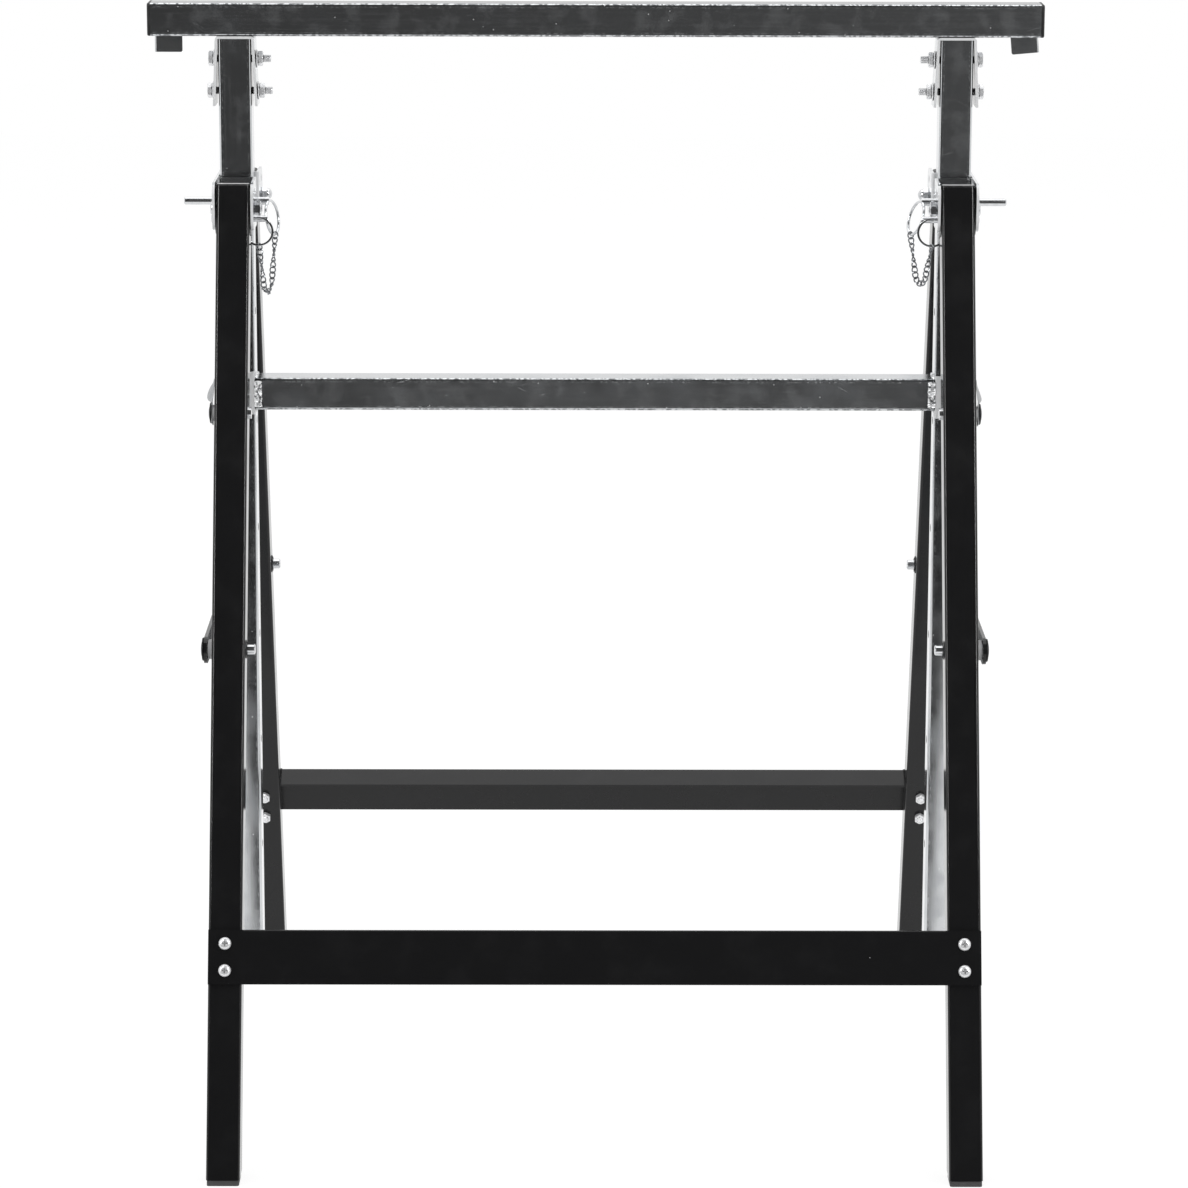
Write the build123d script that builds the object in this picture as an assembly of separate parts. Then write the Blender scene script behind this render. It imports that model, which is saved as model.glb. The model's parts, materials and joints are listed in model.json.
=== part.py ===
from build123d import *
import os
from math import acos, atan2, cos, degrees, floor, hypot, pi, radians, sin, sqrt, tan

# Folding, height-adjustable support stand (trestle).
# Frame: X runs along the top beam, -Y is the front, Z is up and the feet stand on Z = 0.
# It is drawn open, at its lowest height, with both lock pins home. Lengths are in millimetres.

# Overall sizes
BEAM_LENGTH = 680.0
STAND_HEIGHT = 842.0
LEG_SPREAD = 19.25
BEAM_OVERHANG = 66.0
PIVOT_DROP = 152.0
CROSSBAR_DROP = 300.0
POST_FLOOR_GAP = 95.0
POST_TAIL = 82.0
PIN_PITCH = 85.0

# Square tube, sheet and fits
TUBE = 25.0
TUBE_WALL = 1.5
TUBE_ROUND = 2.0
SHEET = 2.0
FREE_GAP = 0.3
RUNNING_GAP = 0.05
BOLT_GAP = 0.2
PLUG_GAP = 0.1
PLUG_LENGTH = 12.0

# Leg tops and hinge brackets
LEG_RISE = 14.5
CAP_HEAD = 4.0
CAP_DOME = 2.0
CAP_ROUND = 1.2
CHEEK = 0.7
CHEEK_GAP = 0.3
CHEEK_WIDTH = 20.0
CHEEK_DROP = 20.5
CHEEK_ROUND = 5.0
BRACKET_SHEET = 2.0
GUIDE_GAP = 2.0
FOLDED_GAP = 11.0
EAR_REACH = 15.0
EAR_UP = 20.5
EAR_DOWN = 16.0
EAR_ROUND = 9.0
SPARE_HOLE = 5.5
SPARE_HOLE_RISE = 12.5

# Pivot bolts (M6): low button heads, plain nuts in front and dome nuts behind
PIVOT_BOLT = 6.0
BUTTON_HEAD = 10.5
BUTTON_HEIGHT = 2.2
BUTTON_ROUND = 1.6
PIVOT_NUT = 10.0
PIVOT_NUT_HEIGHT = 5.0
DOME_NUT_HEX = 4.5
DOME_NUT_HEIGHT = 8.5
DOME_NUT_BORE = 7.0
THREAD_SHOW = 1.0

# Spacer pins between bracket plate and front ear
SPACER_PIN = 5.0
SPACER_PIN_EDGE = 5.0
SPACER_PIN_TAIL = 8.5
SPACER_PIN_HEAD = 8.5
SPACER_PIN_HEAD_HEIGHT = 3.4
SPACER_PIN_HEAD_ROUND = 2.4

# Feet
FOOT_HEAD = 4.0
FOOT_INSET = 0.6
FOOT_PLUG = 16.0

# Front and rear bars (folded angle) and their M5 screws
BAR_HEIGHT = 155.0
BAR_FACE = 40.5
BAR_FLANGE = 24.0
BAR_FOLD_ROUND = 1.5
BAR_NOTCH_GAP = 1.0
BAR_SCREW_SPACING = 20.0
SCREW = 5.0
PAN_HEAD = 9.4
PAN_HEIGHT = 3.2
PAN_ROUND = 2.2
SCREW_NUT = 8.0
SCREW_NUT_HEIGHT = 4.0

# Side links and the bolts they turn on or hook over
LINK_REACH = 336.0
LINK_WIDTH = 20.0
LINK_END = 12.0
LINK_SHEET = 2.5
LINK_BOLT = 8.0
LINK_BOLT_TAIL = 7.0
LINK_BOLT_CHAMFER = 0.8
LINK_SPACER = 3.2
LINK_SPACER_ROUND = 15.0
HOOK_GAP = 0.4
HOOK_SLOPE = 63.0
PUSH_CAP = 17.5
PUSH_CAP_HEIGHT = 2.4
PUSH_CAP_ROUND = 1.6
STAR_WASHER = 14.0
STAR_WASHER_SHEET = 1.2

# Spring clips that hold the folded links
CLIP_REACH = 157.0
CLIP_BOLT = 6.0
CLIP_BOLT_END = 9.0
CLIP_BOLT_TAIL = 2.3
CLIP_WIDTH = 12.0
CLIP_SHEET = 0.8
CLIP_SPACER = 1.6
CLIP_CAP = 16.0
CLIP_CAP_GAP = 0.4
CLIP_BULGE = 4.0
CLIP_BULGE_STEP = 2.6
CLIP_LEAF = 14.0

# Saddles that carry the beam on the posts (M6 flange bolts)
SADDLE_DROP = 53.0
SADDLE_DEPTH = 25.0
SADDLE_FLARE = 2.4
SADDLE_ROUND = 3.0
SADDLE_BOLT = 6.0
SADDLE_BOLT_DROP = 18.0
SADDLE_BOLT_EDGE = 10.7
FLANGE_HEAD = 13.6
FLANGE_SHEET = 1.2
SADDLE_HEX = 10.0
SADDLE_HEAD_HEIGHT = 4.8
SADDLE_NUT_HEIGHT = 5.0
SADDLE_THREAD_SHOW = 6.0

# Weld beads of the crossbar
BEAD_PROUD = 1.2
BEAD_ROUND = 4.0
FILLET_WELD = 2.5

# Beam end caps and flip-up stops
BEAM_CAP = 2.5
BEAM_PLUG_GAP = 2.0
STOP_INSET = 3.5
STOP_WIDTH = 21.0
STOP_ABOVE = 10.0
STOP_BELOW = 27.0
STOP_FLANGE = 10.0
STOP_FLANGE_HEIGHT = 11.0
STOP_ROUND = 1.5
STOP_LEAN = 5.0
STOP_SCREW_TAIL = 9.0

# Lock pins with their pull rings
PIN = 6.0
PIN_TIP = 41.0
PIN_CHAMFER = 0.8
PIN_TAIL = 11.5
RING_WIRE = 2.2
RING_RADIUS = 13.0
RING_YAW = 16.0
LEFT_RING_LEAN = 10.0
RIGHT_RING_LEAN = 18.5

# Split rings and chains
SPLIT_RING_RADIUS = 10.5
SPLIT_RING_WIRE = 1.2
SPLIT_RING_HOLE = 2.8
SPLIT_RING_SETBACK = 8.0
SPLIT_RING_DROP = 10.0
SPLIT_RING_SIDE = 3.0
CHAIN_WIRE = 0.9
CHAIN_WIDTH = 5.0
CHAIN_PITCH = 4.4
CHAIN_SLACK = 0.3
CHAIN_BEND = 6.5
LEFT_CHAIN_LINKS = 21
RIGHT_CHAIN_LINKS = 18

# Places worked out from the sizes above; u is the distance outward from a post's centre line
half = TUBE / 2
lean = radians(LEG_SPREAD)
post_x = BEAM_LENGTH / 2 - BEAM_OVERHANG
beam_z = STAND_HEIGHT - half
beam_under = STAND_HEIGHT - TUBE
post_top = beam_under - SHEET
pivot_z = STAND_HEIGHT - PIVOT_DROP
crossbar_z = STAND_HEIGHT - CROSSBAR_DROP
guide_y = half + GUIDE_GAP
wall_y = guide_y + BRACKET_SHEET
pivot_y = wall_y + FOLDED_GAP + half
plate_u = half + CHEEK + CHEEK_GAP
plate_outside = plate_u + BRACKET_SHEET
ear_top = pivot_z + EAR_UP
ear_bottom = pivot_z - EAR_DOWN
ear_end = pivot_y + EAR_REACH
saddle_bolt_drops = (SADDLE_BOLT_DROP, SADDLE_DROP - SADDLE_BOLT_EDGE)
pin_steps = floor((pivot_z - POST_FLOOR_GAP - POST_TAIL) / PIN_PITCH)
post_bottom = pivot_z - pin_steps * PIN_PITCH - POST_TAIL
bar_z = -(pivot_z - BAR_HEIGHT) / cos(lean)
link_y = pivot_y + LINK_REACH * sin(lean)
link_z = pivot_z - LINK_REACH * cos(lean)
link_u = half + LINK_SPACER + FREE_GAP
link_cap_u = link_u + LINK_SHEET + FREE_GAP
front = Pos(0, -pivot_y, pivot_z) * Rot(-LEG_SPREAD, 0, 0)
far = 4 * (BEAM_LENGTH + STAND_HEIGHT)


def rod(radius, start, end, y=0.0, z=0.0):
    """Round bar along X."""
    return Pos((start + end) / 2, y, z) * Rot(0, 90, 0) * Cylinder(radius, abs(end - start))


def cross_rod(radius, start, end, x=0.0, z=0.0):
    """Round bar along Y."""
    return Pos(x, (start + end) / 2, z) * Rot(90, 0, 0) * Cylinder(radius, abs(end - start))


def hexagon(across, start, end, y=0.0, z=0.0):
    """Hexagon bar along X."""
    prism = extrude(RegularPolygon(across / sqrt(3), 6), abs(end - start))
    return Pos(min(start, end), y, z) * Rot(0, 90, 0) * prism


def block(low, high):
    """Box between two corners."""
    size = [high[i] - low[i] for i in range(3)]
    middle = [(high[i] + low[i]) / 2 for i in range(3)]
    return Pos(*middle) * Box(*size)


def square_bar(length, across=TUBE, corner=TUBE_ROUND):
    """Solid square bar that rises along Z from the origin."""
    return extrude(RectangleRounded(across, across, corner), length)


def square_tube(length):
    """Square tube that rises along Z from the origin."""
    return square_bar(length) - square_bar(length, TUBE - 2 * TUBE_WALL, TUBE_ROUND - TUBE_WALL)


def plug(length):
    """The part of an end cap that fills the tube."""
    return square_bar(length, TUBE - 2 * TUBE_WALL - 2 * PLUG_GAP, TUBE_ROUND - TUBE_WALL)


def lying(shape):
    """A bar that rises along Z, laid along +X instead."""
    return Rot(0, 90, 0) * shape


def round_rim(disc, radius, last=True):
    """A disc along X with the rim of its outer (or inner) face rounded."""
    rims = disc.edges().filter_by(GeomType.CIRCLE).sort_by(Axis.X)
    return fillet(rims[-1] if last else rims[0], radius)


def left_of(shape):
    return mirror(shape, about=Plane.YZ)


def rear_of(shape):
    return mirror(shape, about=Plane.XZ)


def pair(shape):
    """A right-hand piece with its left-hand twin."""
    return [shape, left_of(shape)]


def at_post(shape):
    """A piece drawn about the right post's centre line, moved there."""
    return Pos(post_x, 0, 0) * shape


def on_leg(shape, along):
    """A piece drawn about the right front leg, moved down it and leaned with it."""
    return front * at_post(Pos(0, 0, -along) * shape)


def save(name, *shapes):
    solids = [solid for shape in shapes for solid in shape.solids()]
    export_step(solids[0] if len(solids) == 1 else Compound(solids), f"parts/{name}.step")


def save_sides(name, shape):
    save(f"left_{name}", left_of(shape))
    save(f"right_{name}", shape)


os.makedirs("parts", exist_ok=True)

# Top beam with its plastic end caps
beam_tube = BEAM_LENGTH - 2 * BEAM_CAP
stop_x = BEAM_LENGTH / 2 - STOP_INSET - STOP_WIDTH / 2
beam = Pos(-beam_tube / 2, 0, beam_z) * lying(square_tube(beam_tube))
for x in (stop_x, -stop_x):
    beam -= cross_rod(SCREW / 2 + BOLT_GAP, 0, TUBE, x, beam_z)
save("top_beam", beam)

cap_head = square_bar(BEAM_CAP)
cap_head = fillet(cap_head.faces().sort_by(Axis.Z)[-1].edges(), CAP_ROUND)
beam_plug = beam_tube / 2 - stop_x - SCREW_NUT / 2 - BEAM_PLUG_GAP
beam_cap = cap_head + Pos(0, 0, -beam_plug) * plug(beam_plug)
save("beam_end_caps", *pair(Pos(beam_tube / 2, 0, beam_z) * lying(beam_cap)))

# Posts, with one pin hole for each height, and their bottom plugs
post = Pos(0, 0, post_bottom) * square_tube(post_top - post_bottom)
for step in range(pin_steps + 1):
    post -= rod(PIN / 2 + RUNNING_GAP, -TUBE, TUBE, 0, pivot_z - step * PIN_PITCH)
for drop in saddle_bolt_drops:
    post -= rod(SADDLE_BOLT / 2 + BOLT_GAP, -TUBE, TUBE, 0, beam_under - drop)
save_sides("post", at_post(post))

post_plug = Pos(0, 0, -SHEET) * square_bar(SHEET) + plug(PLUG_LENGTH)
save("post_plugs", *pair(at_post(Pos(0, 0, post_bottom) * post_plug)))

# Crossbar between the posts, and the weld beads round its ends
bar_half_span = post_x - half
crossbar_place = Pos(-bar_half_span, 0, crossbar_z)
save("post_crossbar", crossbar_place * lying(square_tube(2 * bar_half_span)))

welded = at_post(Pos(0, 0, post_bottom) * square_bar(post_top - post_bottom))
welded += crossbar_place * lying(square_bar(2 * bar_half_span))
bead_y = half + BEAD_PROUD - BEAD_ROUND
bead_length = TUBE - 2 * TUBE_ROUND
beads = []
for y in (-bead_y, bead_y):
    beads.append(Pos(bar_half_span - TUBE_ROUND, y, crossbar_z) * Cylinder(BEAD_ROUND, bead_length))
for z in (crossbar_z - half, crossbar_z + half):
    beads.append(cross_rod(FILLET_WELD, -bead_length / 2, bead_length / 2, bar_half_span, z))
welds = []
for bead in beads:
    shown = (bead - welded).solids().sort_by(SortBy.VOLUME)[-1]
    welds += pair(shown)
save("crossbar_welds", *welds)

# Saddles: folded straps under the beam that take the post tops
saddle_inside = half + FREE_GAP
saddle_outside = saddle_inside + SHEET
flare = tan(radians(SADDLE_FLARE))
spread = SADDLE_DROP * flare
saddle_outline = [
    (-saddle_outside - spread, -SADDLE_DROP),
    (-saddle_outside, 0),
    (saddle_outside, 0),
    (saddle_outside + spread, -SADDLE_DROP),
    (saddle_inside + spread, -SADDLE_DROP),
    (saddle_inside, -SHEET),
    (-saddle_inside, -SHEET),
    (-saddle_inside - spread, -SADDLE_DROP),
]
saddle_face = make_face(Polyline(*saddle_outline, close=True))
saddle_face = fillet(saddle_face.vertices().group_by(Axis.Y)[-1], SADDLE_ROUND)
saddle = Pos(0, 0, beam_under) * extrude(Plane.XZ * saddle_face, SADDLE_DEPTH / 2, both=True)
for drop in saddle_bolt_drops:
    saddle -= rod(SADDLE_BOLT / 2 + BOLT_GAP, -2 * TUBE, 2 * TUBE, 0, beam_under - drop)
save_sides("saddle", at_post(saddle))

saddle_bolts = []
saddle_nuts = []
for drop in saddle_bolt_drops:
    z = beam_under - drop
    seat = saddle_outside + (drop + FLANGE_HEAD / 2) * flare
    nut_end = seat + SADDLE_NUT_HEIGHT
    bolt = rod(SADDLE_BOLT / 2, -nut_end - SADDLE_THREAD_SHOW, seat, 0, z)
    bolt += rod(FLANGE_HEAD / 2, seat, seat + FLANGE_SHEET, 0, z)
    bolt += hexagon(SADDLE_HEX, seat + FLANGE_SHEET, seat + SADDLE_HEAD_HEIGHT, 0, z)
    nut = rod(FLANGE_HEAD / 2, -seat - FLANGE_SHEET, -seat, 0, z)
    nut += hexagon(SADDLE_HEX, -nut_end, -seat - FLANGE_SHEET, 0, z)
    nut -= rod(SADDLE_BOLT / 2 + RUNNING_GAP, -2 * TUBE, 0, 0, z)
    saddle_bolts += pair(at_post(bolt))
    saddle_nuts += pair(at_post(nut))
save("saddle_bolts", *saddle_bolts)
save("saddle_nuts", *saddle_nuts)

# Flip-up stops on the beam's rear face: folded plates that turn on one screw each
stop_y = half + FREE_GAP
stop_edge = STOP_WIDTH / 2
stop = block((-stop_edge, stop_y, -STOP_BELOW), (stop_edge, stop_y + SHEET, STOP_ABOVE))
upright_corners = stop.edges().filter_by(Axis.Y)
inner_low = upright_corners.sort_by(lambda edge: edge.center().X + edge.center().Z)[0]
stop = fillet(inner_low, STOP_ROUND)
flange_low = (stop_edge - SHEET, stop_y, -STOP_BELOW)
stop += block(flange_low, (stop_edge, stop_y + STOP_FLANGE, STOP_FLANGE_HEIGHT - STOP_BELOW))
outer_fold = stop.edges().filter_by(Axis.Z).sort_by(lambda edge: edge.center().X - edge.center().Y)[-1]
stop = fillet(outer_fold, STOP_ROUND)
stop -= cross_rod(SCREW / 2 + RUNNING_GAP, 0, TUBE)
stop_place = Pos(stop_x, 0, beam_z)
save("left_stop", left_of(stop_place * stop))
save("right_stop", stop_place * Rot(0, -STOP_LEAN, 0) * stop)

stop_head_y = stop_y + SHEET + FREE_GAP
stop_nut_y = half - TUBE_WALL
stop_screw = rod(SCREW / 2, stop_nut_y - STOP_SCREW_TAIL, stop_head_y)
stop_screw += round_rim(rod(PAN_HEAD / 2, stop_head_y, stop_head_y + PAN_HEIGHT), PAN_ROUND)
stop_nut = hexagon(SCREW_NUT, stop_nut_y - SCREW_NUT_HEIGHT, stop_nut_y)
stop_nut -= rod(SCREW / 2 + RUNNING_GAP, 0, TUBE)
save("stop_screws", *pair(stop_place * Rot(0, 0, 90) * stop_screw))
save("stop_nuts", *pair(stop_place * Rot(0, 0, 90) * stop_nut))

# Hinge brackets: an outer plate, and a folded guide angle in front of and behind each post
spacer_pin_y = wall_y + FREE_GAP + SPACER_PIN / 2
spacer_pin_z = ear_bottom + SPACER_PIN_EDGE
split_ring_y = wall_y + SPLIT_RING_SETBACK
split_hole_z = pivot_z - SPLIT_RING_DROP
plate_outline = RectangleRounded(ear_top - ear_bottom, 2 * ear_end, EAR_ROUND)
plate = Pos(plate_u, 0, (ear_top + ear_bottom) / 2) * lying(extrude(plate_outline, BRACKET_SHEET))
plate -= rod(PIN / 2 + RUNNING_GAP, 0, 2 * TUBE, 0, pivot_z)
plate -= rod(SPACER_PIN / 2 + RUNNING_GAP, 0, 2 * TUBE, -spacer_pin_y, spacer_pin_z)
for y in (-pivot_y, pivot_y):
    plate -= rod(PIVOT_BOLT / 2 + RUNNING_GAP, 0, 2 * TUBE, y, pivot_z)
save_sides("hinge_plate", at_post(plate))

ear = block((-plate_outside, guide_y, ear_bottom), (-plate_u, ear_end, ear_top))
ear = fillet(ear.edges().filter_by(Axis.X).group_by(Axis.Y)[-1], EAR_ROUND)
ear += block((-plate_u, guide_y, ear_bottom), (plate_u, wall_y, ear_top))
fold = ear.edges().filter_by(Axis.Z).sort_by(lambda edge: edge.center().X + edge.center().Y)[0]
ear = fillet(fold, BRACKET_SHEET)
ear -= rod(PIVOT_BOLT / 2 + RUNNING_GAP, -2 * TUBE, 0, pivot_y, pivot_z)
ear -= rod(SPARE_HOLE / 2, -2 * TUBE, 0, pivot_y, pivot_z + SPARE_HOLE_RISE)
front_ear = ear - rod(SPACER_PIN / 2 + RUNNING_GAP, -2 * TUBE, 0, spacer_pin_y, spacer_pin_z)
front_ear -= rod(SPLIT_RING_HOLE / 2, -2 * TUBE, 0, split_ring_y, split_hole_z)
right_angles = [at_post(ear), at_post(rear_of(front_ear))]
save("right_guide_angles", *right_angles)
save("left_guide_angles", *[left_of(angle) for angle in right_angles])

# Pivot bolts and nuts
front_nut_end = plate_outside + PIVOT_NUT_HEIGHT
dome_nut_end = plate_outside + DOME_NUT_HEIGHT
dome_radius = PIVOT_NUT / 2
pivot_head = round_rim(rod(BUTTON_HEAD / 2, plate_outside, plate_outside + BUTTON_HEIGHT), BUTTON_ROUND)
front_pivot = pivot_head + rod(PIVOT_BOLT / 2, -front_nut_end - THREAD_SHOW, plate_outside)
rear_pivot = pivot_head + rod(PIVOT_BOLT / 2, -plate_outside - DOME_NUT_BORE + THREAD_SHOW, plate_outside)
front_nut = hexagon(PIVOT_NUT, -front_nut_end, -plate_outside)
front_nut -= rod(PIVOT_BOLT / 2 + RUNNING_GAP, -2 * TUBE, 0)
dome_nut = hexagon(PIVOT_NUT, -plate_outside - DOME_NUT_HEX, -plate_outside)
dome = rod(dome_radius, -dome_nut_end, -plate_outside)
dome_nut += round_rim(dome, dome_radius - FREE_GAP, last=False)
dome_nut -= rod(PIVOT_BOLT / 2 + RUNNING_GAP, -plate_outside - DOME_NUT_BORE, 0)
front_pivot_place = Pos(post_x, -pivot_y, pivot_z)
rear_pivot_place = Pos(post_x, pivot_y, pivot_z)
save("front_pivot_bolts", *pair(front_pivot_place * front_pivot))
save("front_pivot_nuts", *pair(front_pivot_place * front_nut))
save("rear_pivot_bolts", *pair(rear_pivot_place * rear_pivot))
save("rear_pivot_dome_nuts", *pair(rear_pivot_place * dome_nut))

# Spacer pins, with a domed head outside and a plain end inside
spacer_pin_head = rod(SPACER_PIN_HEAD / 2, plate_outside, plate_outside + SPACER_PIN_HEAD_HEIGHT)
spacer_pin = round_rim(spacer_pin_head, SPACER_PIN_HEAD_ROUND)
spacer_pin += rod(SPACER_PIN / 2, -plate_outside - SPACER_PIN_TAIL, plate_outside)
save("spacer_pins", *pair(Pos(post_x, -spacer_pin_y, spacer_pin_z) * spacer_pin))

# Legs, drawn upright about their pivot and then leaned out, with the foot end cut level
leg_run = pivot_z / cos(lean) + TUBE
under_sole = block((-far, -far, -far), (far, far, FOOT_HEAD))
screw_places = [-bar_z - BAR_SCREW_SPACING / 2, -bar_z + BAR_SCREW_SPACING / 2]
leg = Pos(0, 0, -leg_run) * square_tube(leg_run + LEG_RISE)
leg -= rod(PIVOT_BOLT / 2 + RUNNING_GAP, -TUBE, TUBE)
leg -= rod(LINK_BOLT / 2 + RUNNING_GAP, -TUBE, TUBE, 0, -LINK_REACH)
for along in screw_places:
    leg -= cross_rod(SCREW / 2 + BOLT_GAP, -TUBE, TUBE, 0, -along)
clip_hole = rod(CLIP_BOLT / 2 + RUNNING_GAP, -TUBE, TUBE, 0, -CLIP_REACH)
save_sides("front_leg", on_leg(leg - clip_hole, 0) - under_sole)
save_sides("rear_leg", rear_of(on_leg(leg, 0) - under_sole))

# Leg caps: domed plastic end caps whose cheeks run down between the leg and its bracket
cap_dome = (half**2 + CAP_DOME**2) / (2 * CAP_DOME)
cap = square_bar(CAP_HEAD) & Pos(0, 0, CAP_HEAD - cap_dome) * rod(cap_dome, -TUBE, TUBE)
cap = fillet(cap.faces().sort_by(Axis.Z)[-1].edges(), CAP_ROUND)
cap = Pos(0, 0, LEG_RISE) * (cap + Pos(0, 0, -PLUG_LENGTH) * plug(PLUG_LENGTH))
cheek_top = LEG_RISE + CAP_HEAD - CAP_DOME - CAP_ROUND
cheek = block((half, -CHEEK_WIDTH / 2, -CHEEK_DROP), (half + CHEEK, CHEEK_WIDTH / 2, cheek_top))
cheek = fillet(cheek.edges().filter_by(Axis.X).group_by(Axis.Z)[0], CHEEK_ROUND)
cap += pair(cheek)
cap -= rod(PIVOT_BOLT / 2 + RUNNING_GAP, -TUBE, TUBE)
cap = on_leg(cap, 0)
save("front_leg_caps", *pair(cap))
save("rear_leg_caps", *pair(rear_of(cap)))

# Feet: plastic plugs that stand level on the floor
sole_slab = block((-far, -far, 0), (far, far, FOOT_HEAD))
plug_slab = block((-far, -far, FOOT_HEAD), (far, far, FOOT_HEAD + FOOT_PLUG))
foot = on_leg(square_bar(leg_run, TUBE - 2 * FOOT_INSET), leg_run) & sole_slab
foot += on_leg(plug(leg_run), leg_run) & plug_slab
save("front_feet", *pair(foot))
save("rear_feet", *pair(rear_of(foot)))

# Front and rear bars: folded angle on the outer faces of the legs, its flange between the legs
bar_top = bar_z + BAR_FACE / 2
bar_low = bar_top - BAR_FACE
bar_y = -half - SHEET
bar_half = post_x + half
flange_half = post_x - half - BAR_NOTCH_GAP
angle_outline = [
    (bar_y, bar_low),
    (bar_y, bar_top),
    (bar_y + BAR_FLANGE, bar_top),
    (bar_y + BAR_FLANGE, bar_top - SHEET),
    (bar_y + SHEET, bar_top - SHEET),
    (bar_y + SHEET, bar_low),
]
angle_face = make_face(Polyline(*angle_outline, close=True))
fold_corner = angle_face.vertices().sort_by(lambda corner: corner.X - corner.Y)[0]
angle_face = fillet(fold_corner, BAR_FOLD_ROUND)
bar = extrude(Plane.YZ * angle_face, flange_half, both=True)
bar += block((-bar_half, bar_y, bar_low), (-flange_half, bar_y + SHEET, bar_top))
bar += block((flange_half, bar_y, bar_low), (bar_half, bar_y + SHEET, bar_top))
for along in screw_places:
    for x in (-post_x, post_x):
        bar -= cross_rod(SCREW / 2 + BOLT_GAP, -2 * TUBE, 0, x, -along)
save("front_bar", front * bar)
save("rear_bar", rear_of(front * bar))

screw = rod(SCREW / 2, bar_y, half + SCREW_NUT_HEIGHT + THREAD_SHOW)
screw += round_rim(rod(PAN_HEAD / 2, bar_y - PAN_HEIGHT, bar_y), PAN_ROUND, last=False)
screw_nut = hexagon(SCREW_NUT, half, half + SCREW_NUT_HEIGHT)
screw_nut -= rod(SCREW / 2 + RUNNING_GAP, 0, 2 * TUBE)
for name, piece in (("screws", screw), ("nuts", screw_nut)):
    placed = [side for along in screw_places for side in pair(on_leg(Rot(0, 0, 90) * piece, along))]
    save(f"front_bar_{name}", *placed)
    save(f"rear_bar_{name}", *[rear_of(side) for side in placed])

# Side links: flat straps that turn on the front legs and hook over a peg on the rear legs
strap_outline = RectangleRounded(LINK_WIDTH, 2 * (link_y + LINK_END), LINK_WIDTH / 2 - FREE_GAP)
strap = Pos(link_u, 0, link_z) * lying(extrude(strap_outline, LINK_SHEET))
strap -= rod(LINK_BOLT / 2 + RUNNING_GAP, 0, 2 * TUBE, -link_y, link_z)
hook = LINK_BOLT / 2 + HOOK_GAP
slot = rod(hook, 0, 2 * TUBE) + block((0, -hook, -LINK_WIDTH), (2 * TUBE, hook, 0))
strap -= Pos(0, link_y, link_z) * Rot(HOOK_SLOPE - 90, 0, 0) * slot
save_sides("link", at_post(strap))

link_pin = rod(LINK_BOLT / 2, -half - LINK_BOLT_TAIL, link_cap_u + PUSH_CAP_HEIGHT / 2)
link_pin = chamfer(link_pin.edges().filter_by(GeomType.CIRCLE).sort_by(Axis.X)[0], LINK_BOLT_CHAMFER)
link_spacer = rod(LINK_SPACER_ROUND / 2, half, half + LINK_SPACER)
link_spacer -= rod(LINK_BOLT / 2 + RUNNING_GAP, 0, TUBE)
push_cap = round_rim(rod(PUSH_CAP / 2, link_cap_u, link_cap_u + PUSH_CAP_HEIGHT), PUSH_CAP_ROUND)
star_washer = rod(STAR_WASHER / 2, -half - STAR_WASHER_SHEET, -half)
star_washer -= rod(LINK_BOLT / 2 + RUNNING_GAP, -TUBE, 0)
for front_name, rear_name, piece in (
    ("link_pins", "hook_pegs", link_pin),
    ("link_spacers", "hook_spacers", link_spacer),
    ("link_push_caps", "hook_push_caps", push_cap - link_pin),
    ("link_washers", "hook_washers", star_washer),
):
    placed = on_leg(piece, LINK_REACH)
    save(front_name, *pair(placed))
    save(rear_name, *pair(rear_of(placed)))

# Spring clips on the front legs, each bent from strip and held under a capped pin
clip_u = half + CLIP_SPACER
clip_cap_u = clip_u + CLIP_SHEET
clip_base = CLIP_CAP / 2 + CLIP_CAP_GAP
clip_bulge = clip_base + CLIP_BULGE_STEP
clip_line = [
    (clip_u, -clip_base),
    (clip_u, clip_base),
    (half + CLIP_BULGE, clip_bulge),
    (half + RUNNING_GAP, clip_bulge + CLIP_LEAF),
]
clip_outline = clip_line + [(u + CLIP_SHEET, z) for u, z in reversed(clip_line)]
clip = extrude(Plane.XZ * make_face(Polyline(*clip_outline, close=True)), CLIP_WIDTH / 2, both=True)
clip -= rod(CLIP_BOLT / 2 + RUNNING_GAP, 0, TUBE)
clip_spacer = rod(CLIP_WIDTH / 2, half, clip_u) - rod(CLIP_BOLT / 2 + RUNNING_GAP, 0, TUBE)
clip_pin = rod(CLIP_BOLT / 2, -half, clip_cap_u + PUSH_CAP_HEIGHT / 2)
clip_pin += rod(CLIP_BOLT_END / 2, -half - CLIP_BOLT_TAIL, -half)
clip_cap = round_rim(rod(CLIP_CAP / 2, clip_cap_u, clip_cap_u + PUSH_CAP_HEIGHT), PUSH_CAP_ROUND)
for name, piece in (
    ("link_clips", clip),
    ("clip_spacers", clip_spacer),
    ("clip_pins", clip_pin),
    ("clip_push_caps", clip_cap - clip_pin),
):
    save(name, *pair(on_leg(piece, CLIP_REACH)))

# Lock pins through plate and post, each with a pull ring welded across its inner end
pin_tail_u = half + PIN_TAIL
ring_leans = {"left": LEFT_RING_LEAN, "right": RIGHT_RING_LEAN}
pin = rod(PIN / 2, -pin_tail_u, PIN_TIP)
pin = chamfer(pin.edges().filter_by(GeomType.CIRCLE).sort_by(Axis.X)[-1], PIN_CHAMFER)
turned_ring = Rot(0, 0, RING_YAW) * Rot(0, 90, 0) * Torus(RING_RADIUS, RING_WIRE / 2)
upright_ring = Pos(0, 0, -RING_RADIUS) * turned_ring


def to_side(side, shape):
    """A piece drawn about the right post, moved to one side of the stand."""
    return at_post(shape) if side == "right" else left_of(at_post(shape))


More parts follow.
